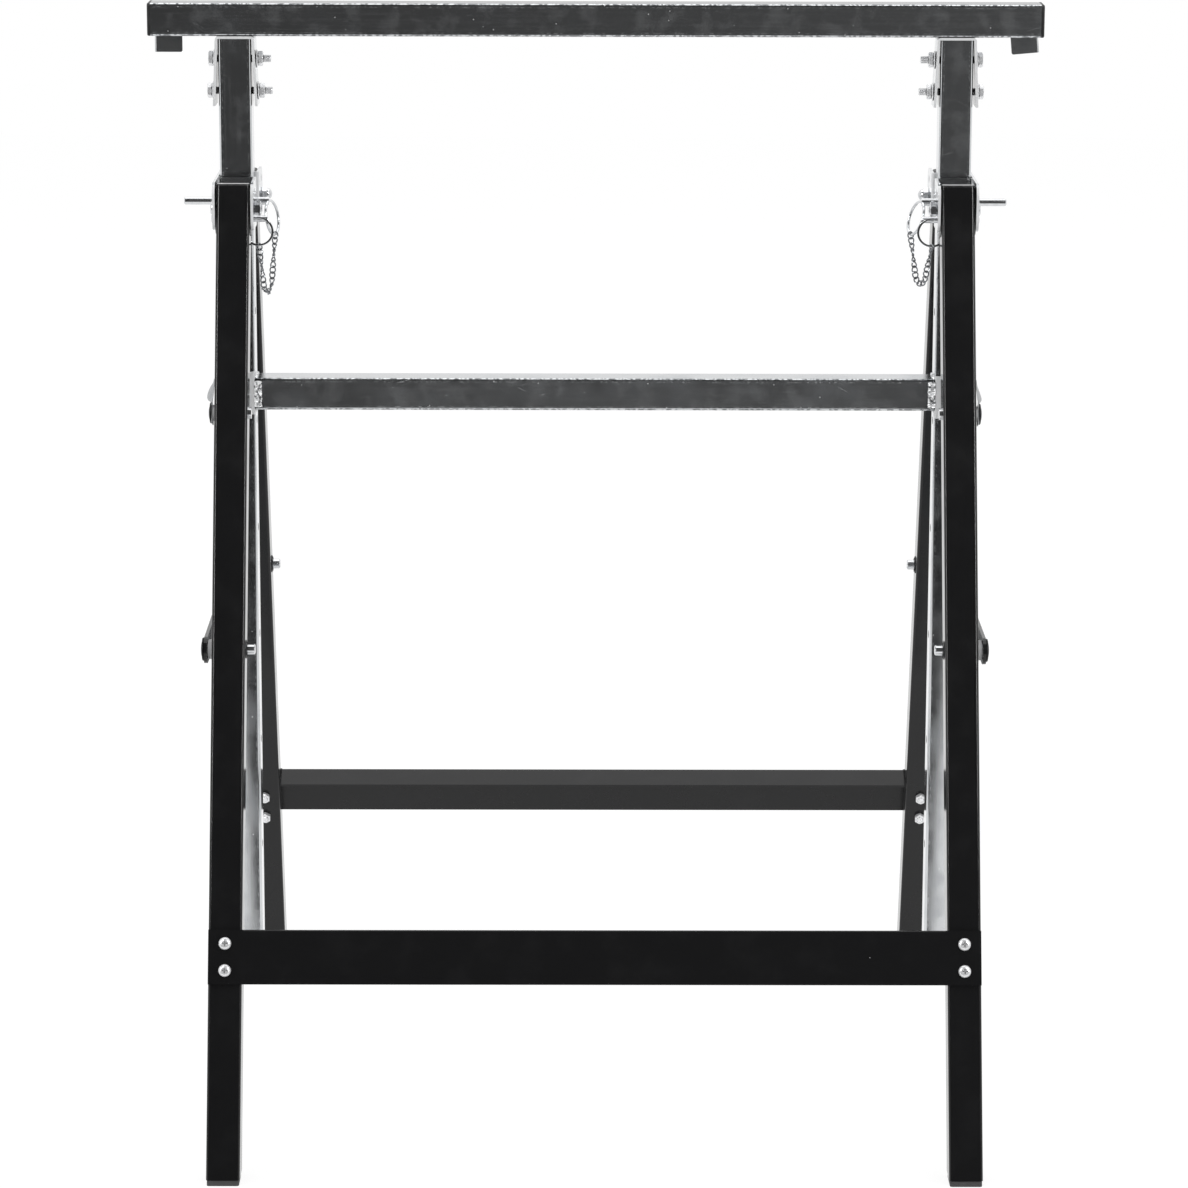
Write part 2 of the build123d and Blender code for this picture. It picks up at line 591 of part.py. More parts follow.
for side, ring_lean in ring_leans.items():
    ring = Pos(-pin_tail_u, 0, 0) * Rot(0, ring_lean, 0) * upright_ring
    save(f"{side}_lock_pin", to_side(side, Pos(0, 0, pivot_z) * (pin - ring)))
    save(f"{side}_pull_ring", to_side(side, Pos(0, 0, pivot_z) * ring))

# Split rings in the front ears
split_ring_u = -(plate_u + plate_outside) / 2 - SPLIT_RING_SIDE
split_ring_z = split_hole_z - sqrt(SPLIT_RING_RADIUS**2 - SPLIT_RING_SIDE**2)
split_ring = Rot(90, 0, 0) * Torus(SPLIT_RING_RADIUS, SPLIT_RING_WIRE / 2)
save("split_rings", *pair(Pos(post_x + split_ring_u, -split_ring_y, split_ring_z) * split_ring))

# Chains from the pull rings to the split rings, hanging in a bend between them
link_bow = (CHAIN_WIDTH - CHAIN_WIRE) / 2
link_side = CHAIN_PITCH + CHAIN_SLACK + CHAIN_WIRE - 2 * link_bow
bow = Rot(90, 0, 0) * revolve(Plane.XZ * Pos(link_bow, 0, 0) * Circle(CHAIN_WIRE / 2), Axis.Z, 180)
chain_link = Pos(0, 0, link_side / 2) * bow + Pos(0, 0, -link_side / 2) * Rot(180, 0, 0) * bow
for x in (-link_bow, link_bow):
    chain_link += Pos(x, 0, 0) * Cylinder(CHAIN_WIRE / 2, link_side)
split_ring_low = split_ring_z - SPLIT_RING_RADIUS + (SPLIT_RING_WIRE + CHAIN_SLACK) / 2
chain_end = Vector(split_ring_u, -split_ring_y, split_ring_low)


def hanging_line(span, rise, drop):
    """Angles and straight lengths of a line that goes down, round a bend this far below, and up again."""
    fall = hypot(span / 2, drop)
    climb = hypot(span / 2, drop + rise)
    start_angle = atan2(drop, -span / 2) + acos(CHAIN_BEND / fall)
    end_angle = atan2(drop + rise, span / 2) - acos(CHAIN_BEND / climb) + 2 * pi
    down = sqrt(fall**2 - CHAIN_BEND**2)
    up = sqrt(climb**2 - CHAIN_BEND**2)
    return start_angle, end_angle, down, up


def chain_points(span, rise, links):
    """Ends of the links along such a line, as distances across and up from its start."""
    length = links * CHAIN_PITCH
    low, high = CHAIN_BEND, length
    for _ in range(60):
        drop = (low + high) / 2
        start_angle, end_angle, down, up = hanging_line(span, rise, drop)
        if down + CHAIN_BEND * (end_angle - start_angle) + up < length:
            low = drop
        else:
            high = drop
    points = []
    for i in range(links + 1):
        run = i * CHAIN_PITCH - down
        angle = min(max(start_angle + run / CHAIN_BEND, start_angle), end_angle)
        straight = min(run, 0) + max(run - CHAIN_BEND * (end_angle - start_angle), 0)
        across = span / 2 + CHAIN_BEND * cos(angle) - straight * sin(angle)
        points.append((across, CHAIN_BEND * sin(angle) + straight * cos(angle) - drop))
    return points


def chain(links, ring_lean):
    """Chain links, each turned about a quarter from the last so that both ends hang square to their rings."""
    reach = 2 * RING_RADIUS
    lowest = -reach * cos(radians(ring_lean)) + (RING_WIRE + CHAIN_SLACK) / 2
    start = Vector(-pin_tail_u - reach * sin(radians(ring_lean)), 0, pivot_z + lowest)
    run = chain_end - start
    heading = degrees(atan2(run.Y, run.X))
    quarter_turns = 90 - RING_YAW + 180 * round((links - 1) / 2)
    points = chain_points(hypot(run.X, run.Y), run.Z, links)
    placed = []
    for i in range(links):
        (s0, z0), (s1, z1) = points[i], points[i + 1]
        tilt = degrees(atan2(s1 - s0, z1 - z0))
        roll = RING_YAW - heading + i * quarter_turns / (links - 1)
        place = Pos(start) * Rot(0, 0, heading) * Pos((s0 + s1) / 2, 0, (z0 + z1) / 2)
        placed.append(place * Rot(0, tilt, 0) * Rot(0, 0, roll) * chain_link)
    return placed


for side, links in (("left", LEFT_CHAIN_LINKS), ("right", RIGHT_CHAIN_LINKS)):
    save(f"{side}_chain", *[to_side(side, one) for one in chain(links, ring_leans[side])])
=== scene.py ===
import json
from math import asin, cos, pi, radians, sin, sqrt, tan

import bmesh
import bpy
from mathutils import Matrix, Vector, noise

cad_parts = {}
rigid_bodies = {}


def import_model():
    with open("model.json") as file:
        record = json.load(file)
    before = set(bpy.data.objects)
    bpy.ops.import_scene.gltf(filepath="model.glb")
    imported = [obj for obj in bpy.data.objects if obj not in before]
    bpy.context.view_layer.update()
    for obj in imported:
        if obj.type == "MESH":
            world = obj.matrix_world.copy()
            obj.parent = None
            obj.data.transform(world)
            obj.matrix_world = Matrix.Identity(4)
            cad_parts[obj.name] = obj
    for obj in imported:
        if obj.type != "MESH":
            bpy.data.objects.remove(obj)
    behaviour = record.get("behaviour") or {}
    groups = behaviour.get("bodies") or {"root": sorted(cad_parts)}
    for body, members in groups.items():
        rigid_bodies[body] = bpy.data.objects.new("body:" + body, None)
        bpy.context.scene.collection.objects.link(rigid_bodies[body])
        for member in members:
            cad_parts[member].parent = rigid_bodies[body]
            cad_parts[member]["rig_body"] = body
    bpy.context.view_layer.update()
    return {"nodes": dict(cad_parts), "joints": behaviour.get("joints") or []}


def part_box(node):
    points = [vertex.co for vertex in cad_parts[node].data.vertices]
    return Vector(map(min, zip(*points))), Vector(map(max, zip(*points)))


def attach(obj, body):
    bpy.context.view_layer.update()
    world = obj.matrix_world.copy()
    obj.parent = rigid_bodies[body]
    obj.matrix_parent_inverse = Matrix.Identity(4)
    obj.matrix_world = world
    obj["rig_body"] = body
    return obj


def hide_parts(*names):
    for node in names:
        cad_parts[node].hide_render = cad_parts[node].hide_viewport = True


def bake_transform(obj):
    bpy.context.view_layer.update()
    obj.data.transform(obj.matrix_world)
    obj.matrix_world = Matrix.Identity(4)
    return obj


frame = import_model()

# Hinge brackets
# Each post runs between two folded guide angles and an outer plate, pressed from 2 mm sheet
# and zinc plated after pressing. Their ears carry the pivot bolts that the legs turn on.
MM = 0.001
ZINC_PLATE = "#dcdedf"
ZINC_PLATE_DULL = "#c2c5c8"
ZINC_MATT = "#e4e5e6"
PAINTED_GAP_SHADE = "#2c2c2d"
PLATE_CLOUD_MM = 14
# Roll lines are finer than this on real sheet, and are drawn coarser so that they show.
PLATE_LINE_MM = 0.9
PLATE_LINE_STRETCH = 0.03
SHEET_METALLIC = 0.97
MATT_METALLIC = 0.15
SHEET_ROUGHNESS = (0.1, 0.2)
MATT_ROUGHNESS = 0.35
post_low, post_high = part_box("right_post")
POST_X = (post_low[0] + post_high[0]) / 2
POST_HALF = (post_high[0] - post_low[0]) / 2


def linear(hex_colour):
    """An sRGB hex colour as the linear RGBA that a socket takes."""
    parts = [int(hex_colour[i : i + 2], 16) / 255 for i in (1, 3, 5)]
    return [p / 12.92 if p <= 0.04045 else ((p + 0.055) / 1.055) ** 2.4 for p in parts] + [1]


def feed(tree, socket, value):
    """Sets an input, or links it to an output or to a node's first output in use."""
    if isinstance(value, bpy.types.Node):
        value = next(output for output in value.outputs if output.enabled)
    if isinstance(value, bpy.types.NodeSocket):
        tree.links.new(value, socket)
    else:
        socket.default_value = value


def add(tree, kind, *values, **named):
    """Adds a node: values fill the inputs in use in order, names are inputs or settings.

    A MapRange so takes a value, the two ends it comes from and the two ends it goes to.
    """
    made = tree.nodes.new("ShaderNode" + kind)
    for name in [name for name in named if name not in made.inputs]:
        setattr(made, name, named.pop(name))
    for socket, value in zip([socket for socket in made.inputs if socket.enabled], values):
        feed(tree, socket, value)
    for name, value in named.items():
        feed(tree, made.inputs[name], value)
    return made


def start_material(name, colour, metallic, roughness):
    """A material, its tree and shader, and the object's own coordinates in metres."""
    material = bpy.data.materials.new(name)
    material.use_nodes = True
    tree = material.node_tree
    shader = tree.nodes["Principled BSDF"]
    shader.inputs["Base Color"].default_value = linear(colour)
    shader.inputs["Metallic"].default_value = metallic
    shader.inputs["Roughness"].default_value = roughness
    return material, tree, shader, add(tree, "TexCoord").outputs["Object"]


def wire(tree, shader, nodes):
    """Joins nodes to the shader's inputs of these names."""
    for name, node in nodes.items():
        feed(tree, shader.inputs[name], node)


def dress(material, *nodes):
    """Gives CAD nodes their finish."""
    for name in nodes:
        frame["nodes"][name].data.materials[0] = material


def painted_shade_in_gaps(tree, tint, reach_mm):
    """Painted shade: the tint darkened where another surface stands close by."""
    hollow = add(tree, "AmbientOcclusion", Distance=reach_mm * MM, samples=8)
    open_air = add(tree, "MapRange", hollow.outputs["AO"], 0.45, 0.8)
    return add(tree, "Mix", open_air, linear(PAINTED_GAP_SHADE), tint, data_type="RGBA")


def zinc_plated_sheet(name, axis, colour, slides=False, gap_mm=0):
    """Pressed sheet, zinc plated: bright and cloudy, and matt on faces square to an axis.

    Where a post slides past, those faces are rubbed bright as well.
    """
    material, tree, shader, place = start_material(name, ZINC_PLATE, 1, 0.2)
    cloud = add(tree, "TexNoise", Vector=place, Scale=1000 / PLATE_CLOUD_MM, Detail=4)
    dull = add(tree, "MapRange", cloud, 0.42, 0.68)
    tint = add(tree, "Mix", dull, linear(ZINC_PLATE), linear(ZINC_PLATE_DULL), data_type="RGBA")
    facing = add(tree, "SeparateXYZ", place.node.outputs["Normal"])
    facing = add(tree, "Math", facing.outputs[axis], operation="ABSOLUTE")
    matt = add(tree, "MapRange", facing, 0.35, 0.75)
    if slides:
        spot = add(tree, "SeparateXYZ", place)
        aside = add(tree, "Math", spot.outputs["X"], operation="ABSOLUTE")
        slid = add(tree, "Math", aside, POST_X, POST_HALF, operation="COMPARE")
        clear = add(tree, "Math", 1.0, slid, operation="SUBTRACT")
        matt = add(tree, "Math", matt, clear, operation="MULTIPLY")
    tint = add(tree, "Mix", matt, tint, linear(colour), data_type="RGBA")
    # Painted shade where another surface stands close by, as inside the saddles.
    if gap_mm:
        tint = painted_shade_in_gaps(tree, tint, gap_mm)
    metal = add(tree, "Math", matt, MATT_METALLIC - SHEET_METALLIC, SHEET_METALLIC,
                operation="MULTIPLY_ADD")
    rough = add(tree, "MapRange", cloud, 0.3, 0.7, *SHEET_ROUGHNESS)
    rough = add(tree, "Math", matt, MATT_ROUGHNESS, rough, operation="MULTIPLY_ADD")
    stretched = add(tree, "Mapping", Vector=place, Scale=(1, PLATE_LINE_STRETCH, 1))
    lines = add(tree, "TexNoise", Vector=stretched, Scale=1000 / PLATE_LINE_MM, Detail=2)
    relief = add(tree, "Bump", Strength=0.12, Distance=0.05 * MM, Height=lines)
    wire(tree, shader,
         {"Base Color": tint, "Metallic": metal, "Roughness": rough, "Normal": relief})
    return material


bracket_sheet = zinc_plated_sheet("zinc_plated_bracket_sheet", 1, ZINC_MATT, slides=True)
dress(bracket_sheet, "left_hinge_plate", "right_hinge_plate", "left_guide_angles",
      "right_guide_angles")

# Legs, bars and links
# The legs are 25 mm square steel tube, the bars folded sheet and the links flat strap. All are
# powder coated after drilling: a glossy black skin with a fine orange peel and a few nicks.
POWDER_BLACK = "#19191a"
POWDER_DUST = "#212122"
BARE_STEEL = "#b9bbbd"
POWDER_SPECULAR = 0.34
POWDER_ROUGHNESS = (0.1, 0.17)
DUST_MM = 26
DUST_LEVEL = 0.55
PEEL_MM = 2.2
NICK_MM = 17
NICK_SIZE = 0.045
NICK_RARITY = 0.93


def flecks(tree, place, cell_mm, size, rarity):
    """Spots scattered one to a cell, in those cells whose draw from 0 to 1 is above a rarity."""
    cells = add(tree, "TexVoronoi", Vector=place, Scale=1000 / cell_mm)
    drawn = add(tree, "SeparateColor", cells.outputs["Color"])
    rare = add(tree, "Math", drawn.outputs["Red"], rarity, operation="GREATER_THAN")
    near = add(tree, "Math", cells.outputs["Distance"], size, operation="LESS_THAN")
    return add(tree, "Math", rare, near, operation="MULTIPLY")


def black_powder_coat():
    """Polyester powder baked on steel: glossy black, orange peel, faint dust and bright nicks."""
    material, tree, shader, place = start_material("black_powder_coat", POWDER_BLACK, 0, 0.12)
    shader.inputs["Specular IOR Level"].default_value = POWDER_SPECULAR
    dust = add(tree, "TexNoise", Vector=place, Scale=1000 / DUST_MM, Detail=5)
    dust_and_rim_highlight = add(tree, "MapRange", dust, 0.5, 0.78, 0, DUST_LEVEL)
    tint = add(tree, "Mix", dust_and_rim_highlight, linear(POWDER_BLACK), linear(POWDER_DUST), data_type="RGBA")
    nick = flecks(tree, place, NICK_MM, NICK_SIZE, NICK_RARITY)
    tint = add(tree, "Mix", nick, tint, linear(BARE_STEEL), data_type="RGBA")
    rough = add(tree, "MapRange", dust, 0.3, 0.75, *POWDER_ROUGHNESS)
    peel = add(tree, "TexNoise", Vector=place, Scale=1000 / PEEL_MM, Detail=1)
    relief = add(tree, "Bump", Strength=0.15, Distance=0.08 * MM, Height=peel)
    wire(tree, shader, {"Base Color": tint, "Roughness": rough, "Normal": relief})
    return material


powder_coat = black_powder_coat()
dress(powder_coat, "left_front_leg", "right_front_leg", "left_rear_leg", "right_rear_leg",
      "front_bar", "rear_bar", "left_link", "right_link")

# Leg caps, plugs and feet
# Injection-moulded polyethylene pushed into the tube ends: black caps with thin cheeks at the
# leg tops, black plugs in beam and posts, and softer dark grey feet under the legs.
CAP_BLACK = "#121213"
CAP_SCUFF = "#262627"
FOOT_GREY = "#3a3a3b"
FOOT_SCUFF = "#4a4a4b"
CAP_RIM_HIGHLIGHT = "#dededf"
SCUFF_MM = 9
SCUFF_ROUGHNESS = (-0.06, 0.1)
# The spark grain of a mould is finer than this, and is drawn coarser so that it shows.
MOULD_GRAIN_MM = 0.8


def moulded_plastic(name, colour, scuffed, roughness, dust_and_rim_highlight=False):
    """Moulded plastic: matt, with its mould's spark grain and paler scuffs, and if asked a painted
    highlight on upper outer rims.
    """
    material, tree, shader, place = start_material(name, colour, 0, roughness)
    scuff = add(tree, "TexNoise", Vector=place, Scale=1000 / SCUFF_MM, Detail=5)
    worn = add(tree, "MapRange", scuff, 0.5, 0.8)
    tint = add(tree, "Mix", worn, linear(colour), linear(scuffed), data_type="RGBA")
    if dust_and_rim_highlight:
        # Painted highlight on faces that look up and away from the stand's middle.
        facing = add(tree, "SeparateXYZ", place.node.outputs["Normal"])
        spot = add(tree, "SeparateXYZ", place)
        side = add(tree, "Math", spot.outputs["Y"], operation="SIGN")
        outer = add(tree, "Math", facing.outputs["Y"], side, operation="MULTIPLY")
        outer = add(tree, "MapRange", outer, 0.02, 0.12)
        top = add(tree, "MapRange", facing.outputs["Z"], 0.5, 0.75)
        rim = add(tree, "Math", outer, top, operation="MULTIPLY")
        tint = add(tree, "Mix", rim, tint, linear(CAP_RIM_HIGHLIGHT), data_type="RGBA")
    rough = add(tree, "MapRange", scuff, 0.3, 0.7,
                *(roughness + change for change in SCUFF_ROUGHNESS))
    grain = add(tree, "TexNoise", Vector=place, Scale=1000 / MOULD_GRAIN_MM, Detail=1)
    relief = add(tree, "Bump", Strength=0.2, Distance=0.06 * MM, Height=grain)
    wire(tree, shader, {"Base Color": tint, "Roughness": rough, "Normal": relief})
    return material


black_caps = moulded_plastic("moulded_black_polyethylene", CAP_BLACK, CAP_SCUFF, 0.45)
grey_feet = moulded_plastic("moulded_grey_polyethylene", FOOT_GREY, FOOT_SCUFF, 0.6)
rim_highlighted_caps = moulded_plastic("moulded_black_polyethylene_rim_highlight", CAP_BLACK, CAP_SCUFF, 0.3,
                             dust_and_rim_highlight=True)
dress(black_caps, "beam_end_caps", "post_plugs")
dress(rim_highlighted_caps, "front_leg_caps", "rear_leg_caps")
dress(grey_feet, "front_feet", "rear_feet")

# Pivot bolts and nuts
# M6 button-head bolts with a hexagon socket, the legs' hinge pins. Plain nuts hold the front
# ones and dome nuts the rear ones. Cold-forged steel, bright zinc plated.
BRIGHT_ZINC = "#e2e3e4"
ZINC_SHADE = "#c4c6c9"
ZINC_CLOUD_MM = 4
GAP_SHADE_MM = 1.2
M6 = 6.0
M6_PITCH = 1.0
M6_SOCKET = 4.0
M6_NUT = 10.0
THREAD_DEPTH = 0.55
BUTTON = (10.5, 2.2)
BUTTON_EDGE = 0.3
BUTTON_SIDE = 0.7
BUTTON_ROUND = 1.5
SOCKET_DEPTH = 1.6
SOCKET_POINT = (1.8, 0.4)
HEXAGON_FACE = 0.475
HEXAGON_CHAMFER = radians(30)
DOME_NUT_HEX = 4.5
DOME_WIDTH = 0.455
DOME_WALL = 1.5
DOME_TIP = 0.2
DOME_ANGLES = (0, 0.2, 0.4, 0.6, 0.8, 1.0, 1.2, 1.4, 1.53)
EDGE_ANGLES = (0.4, 0.8, 1.2, 1.57)
BORE_GAP = 0.05
SIDES = 48
SHARP_EDGE = radians(38)


def zinc_plating(name, smooth, rough, metallic=1, light=BRIGHT_ZINC, shade=ZINC_SHADE,
                 painted_shade=False):
    """Zinc-plated hardware: clouded between two colours and roughnesses, with painted shade in its
    hollows if asked.
    """
    material, tree, shader, place = start_material(name, light, metallic, smooth)
    cloud = add(tree, "TexNoise", Vector=place, Scale=1000 / ZINC_CLOUD_MM, Detail=4)
    tint = add(tree, "Mix", cloud, linear(light), linear(shade), data_type="RGBA")
    # Painted shade in hollows such as the screws' cross recesses.
    if painted_shade:
        tint = painted_shade_in_gaps(tree, tint, GAP_SHADE_MM)
    rough = add(tree, "MapRange", cloud, 0.3, 0.7, smooth, rough)
    relief = add(tree, "Bump", Strength=0.1, Distance=0.05 * MM, Height=cloud)
    wire(tree, shader, {"Base Color": tint, "Roughness": rough, "Normal": relief})
    return material


def solids(node):
    """The corner points of each separate solid of a CAD node, in order of their places."""
    mesh = bmesh.new()
    mesh.from_mesh(frame["nodes"][node].data)
    bmesh.ops.remove_doubles(mesh, verts=mesh.verts, dist=1e-6)
    left = dict.fromkeys(mesh.verts)
    found = []
    while left:
        reached = [left.popitem()[0]]
        for corner in reached:
            for edge in corner.link_edges:
                other = edge.other_vert(corner)
                if other in left:
                    del left[other]
                    reached.append(other)
        found.append([corner.co.copy() for corner in reached])
    mesh.free()
    return sorted(found, key=lambda points: tuple(min(points, key=tuple)))


def centre_line(points, axis):
    """The placing matrix and length of a solid that is round or six-sided about an axis."""
    axis = Vector(axis).normalized()
    across = axis.orthogonal().normalized()
    aside = axis.cross(across)
    start = Vector()
    for direction in (across, aside):
        spread = [point.dot(direction) for point in points]
        start += direction * (min(spread) + max(spread)) / 2
    reach = [point.dot(axis) for point in points]
    start += axis * min(reach)
    turn = axis.to_track_quat("Z", "Y").to_matrix().to_4x4()
    place = Matrix.Translation(start) @ turn @ Matrix.Scale(MM, 4)
    return place, (max(reach) - min(reach)) / MM


def skin(rings, closed=False):
    """A mesh through rings of points: ends are capped, or if closed the last joins the first."""
    mesh = bmesh.new()
    made = [[mesh.verts.new(point) for point in ring] for ring in rings]
    count = len(made[0])
    for i in range(len(made) if closed else len(made) - 1):
        low, high = made[i], made[(i + 1) % len(made)]
        for j in range(count):
            k = (j + 1) % count
            mesh.faces.new((low[j], low[k], high[k], high[j]))
    if not closed:
        mesh.faces.new(list(reversed(made[0])))
        mesh.faces.new(made[-1])
    return mesh


def turned(profile, closed=False, sides=SIDES):
    """A mesh turned about Z from steps of height and radius, which may go by angle and height."""
    rings = []
    for height, radius in profile:
        ring = []
        for i in range(sides):
            angle = 2 * pi * i / sides
            size = radius(angle, height) if callable(radius) else radius
            ring.append((size * cos(angle), size * sin(angle), height))
        rings.append(ring)
    return skin(rings, closed)


def six_sided(across, limit=None):
    """Radius of a hexagon by angle, no larger than a limit that rounds its corners off."""
    def radius(angle, height):
        size = across / 2 / cos((angle + pi / 6) % (pi / 3) - pi / 6)
        return min(size, limit) if limit else size
    return radius


def chamfered_hexagon(across, start, end):
    """Steps of a hexagon bar whose corners are chamfered at both ends."""
    face = HEXAGON_FACE * across
    corner = across / sqrt(3)
    slope = tan(HEXAGON_CHAMFER)
    steps = [(share * (corner - face) * slope, face + share * (corner - face))
             for share in (0, 0.35, 0.7, 1)]
    low = [(start + rise, six_sided(across, limit)) for rise, limit in steps]
    high = [(end - rise, six_sided(across, limit)) for rise, limit in reversed(steps)]
    return low + high


def threaded(size, pitch, start, end, steps=6):
    """Steps of a screw thread between two heights, with its first turn chamfered."""
    def radius(angle, height):
        wave = abs((height / pitch - angle / (2 * pi)) % 1 * 2 - 1)
        crest = size / 2 - THREAD_DEPTH * (1 - wave)
        return min(crest, size / 2 - THREAD_DEPTH + max(0.0, height - start))
    count = max(2, round((end - start) / pitch * steps))
    return [(start + (end - start) * i / count, radius) for i in range(count + 1)]


def rounding(height, radius, size, angles):
    """Steps of an edge that bends inward from a height and a radius."""
    return [(height + size * sin(a), radius - size + size * cos(a)) for a in angles]


def domed(height, rise, radius, angles):
    """Steps of a dome that stands on a height."""
    return [(height + rise * sin(a), radius * cos(a)) for a in angles]


def piece(name, mesh, material, node, place=Matrix(), rides=True):
    """A finished piece that stands for a CAD node and moves with that node's body."""
    data = bpy.data.meshes.new(name)
    bmesh.ops.recalc_face_normals(mesh, faces=mesh.faces)
    mesh.transform(place)
    mesh.to_mesh(data)
    mesh.free()
    data.shade_smooth()
    data.set_sharp_from_angle(angle=SHARP_EDGE)
    data.materials.append(material)
    made = bpy.data.objects.new(name, data)
    bpy.context.scene.collection.objects.link(made)
    if rides:
        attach(made, frame["nodes"][node]["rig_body"])
    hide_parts(node)
    return made


def fasteners(node, axis_of, shape, material):
    """One piece for each solid of a node: its middle gives the axis, its length the shape."""
    for i, points in enumerate(solids(node)):
        middle = sum(points, Vector()) / len(points)
        place, length = centre_line(points, axis_of(middle))
        piece(f"{node}_{i + 1}", shape(length), material, node, place)


def outward(middle):
    """Along the beam, away from the middle of the stand."""
    return (1 if middle.x > 0 else -1, 0, 0)


def inward(middle):
    """Along the beam, towards the middle of the stand."""
    return -Vector(outward(middle))


def button_bolt(length):
    """Threaded shank, low domed head with a hexagon socket."""
    width, height = BUTTON
    neck = length - height
    rim = width / 2
    side = neck + BUTTON_SIDE
    depth, point = SOCKET_POINT
    steps = threaded(M6, M6_PITCH, 0, neck)
    steps += [(neck, rim - BUTTON_EDGE), (neck + BUTTON_EDGE, rim), (side, rim)]
    steps += rounding(side, rim, BUTTON_ROUND, EDGE_ANGLES)
    steps += [(length, six_sided(M6_SOCKET)), (length - SOCKET_DEPTH, six_sided(M6_SOCKET))]
    return turned(steps + [(length - depth, point)])


def plain_nut(length, across=M6_NUT, size=M6):
    """Chamfered hexagon with a plain bore."""
    bore = size / 2 + BORE_GAP
    return turned(chamfered_hexagon(across, 0, length) + [(length, bore), (0, bore)], closed=True)


def dome_nut(length):
    """Hexagon with a hollow dome that covers the bolt's end."""
    bore = M6 / 2 + BORE_GAP
    inside = length - DOME_WALL
    steps = chamfered_hexagon(M6_NUT, 0, DOME_NUT_HEX)
    steps += domed(DOME_NUT_HEX, length - DOME_NUT_HEX, DOME_WIDTH * M6_NUT, DOME_ANGLES)
    return turned(steps + [(inside, DOME_TIP), (inside, bore), (0, bore)], closed=True)


bright_zinc = zinc_plating("bright_zinc_plating", 0.08, 0.2)
fasteners("front_pivot_bolts", outward, button_bolt, bright_zinc)
fasteners("rear_pivot_bolts", outward, button_bolt, bright_zinc)
fasteners("front_pivot_nuts", inward, plain_nut, bright_zinc)
fasteners("rear_pivot_dome_nuts", inward, dome_nut, bright_zinc)

# Spacer pins
# Plain 5 mm pins with a domed head, riveted through plate and front ear to keep them apart.
# Zinc-plated steel.
dress(bright_zinc, "spacer_pins")

# Bar screws and nuts
# M5 pan-head machine screws with a cross recess hold the bars on the legs' outer faces, with a
# plain nut behind each. Their zinc plating has a pale passivated skin, with painted shade in the
# recess.
PALE_ZINC = "#fbfbfc"
PALE_ZINC_SHADE = "#e6e7e9"
M5 = 5.0
M5_PITCH = 0.8
M5_NUT = 8.0
PAN = (9.4, 3.2)
PAN_EDGE = 0.2
PAN_SIDE = 1.0
PAN_ROUND = 2.2
PAN_TOP = 2.4
RECESS_WIDTH = 4.2
RECESS_SLOT = 1.0
RECESS_DEPTH = 1.3
RECESS_STRAIGHT = 0.4
RECESS_TIP = 0.35
RECESS_TAPER = 0.3
PAN_ANGLES = (0.3, 0.6, 0.9, 1.2)
lean = radians(next(j["range_deg"][1] for j in frame["joints"] if j["name"] == "front_fold"))


def carved(mesh, cutter):
    """A mesh less another one."""
    made = []
    for part in (mesh, cutter):
        bmesh.ops.recalc_face_normals(part, faces=part.faces)
        data = bpy.data.meshes.new("carving")
        part.to_mesh(data)
        part.free()
        made.append(bpy.data.objects.new("carving", data))
        bpy.context.scene.collection.objects.link(made[-1])
    cut = made[0].modifiers.new("cut", "BOOLEAN")
    cut.object = made[1]
    cut.operation = "DIFFERENCE"
    cut.solver = "EXACT"
    shown = made[0].evaluated_get(bpy.context.evaluated_depsgraph_get())
    result = bmesh.new()
    result.from_mesh(shown.data)
    for leftover in made:
        bpy.data.objects.remove(leftover)
    return result


def cross_cutter(top):
    """Tapered cross that a driver's tip fills, standing on the head's top."""
    arm = RECESS_WIDTH / 2
    slot = RECESS_SLOT / 2
    outline = [(arm, slot), (slot, slot), (slot, arm), (-slot, arm), (-slot, slot), (-arm, slot)]
    outline += [(-x, -y) for x, y in outline]

    def narrowed(reach, share):
        return reach * (max(share, slot / arm) if abs(reach) > slot else share ** RECESS_TAPER)

    heights = ((top - RECESS_DEPTH, RECESS_TIP), (top - RECESS_STRAIGHT, 1.0), (top + 1, 1.0))
    return skin([[(narrowed(x, share), narrowed(y, share), height) for x, y in outline]
                 for height, share in heights])


def pan_screw(length):
    """Threaded shank and domed head with a cross recess."""
    width, height = PAN
    neck = length - height
    rim = width / 2
    side = neck + PAN_SIDE
    steps = threaded(M5, M5_PITCH, 0, neck)
    steps += [(neck, rim - PAN_EDGE), (neck + PAN_EDGE, rim), (side, rim)]
    steps += rounding(side, rim, PAN_ROUND, PAN_ANGLES)
    return carved(turned(steps + [(length, rim - PAN_TOP)]), cross_cutter(length))


def m5_nut(length):
    """The same nut for an M5 screw."""
    return plain_nut(length, M5_NUT, M5)


def off_leg(middle):
    """Square to the outer face of a leaning leg."""
    return (0, cos(lean) * (1 if middle.y > 0 else -1), sin(lean))


def into_leg(middle):
    """From that face into the leg."""
    return -Vector(off_leg(middle))


pale_zinc = zinc_plating("pale_zinc_plating", 0.2, 0.32, 0.45, PALE_ZINC, PALE_ZINC_SHADE,
                         painted_shade=True)
for end in ("front", "rear"):
    fasteners(f"{end}_bar_screws", off_leg, pan_screw, pale_zinc)
    fasteners(f"{end}_bar_nuts", into_leg, m5_nut, pale_zinc)

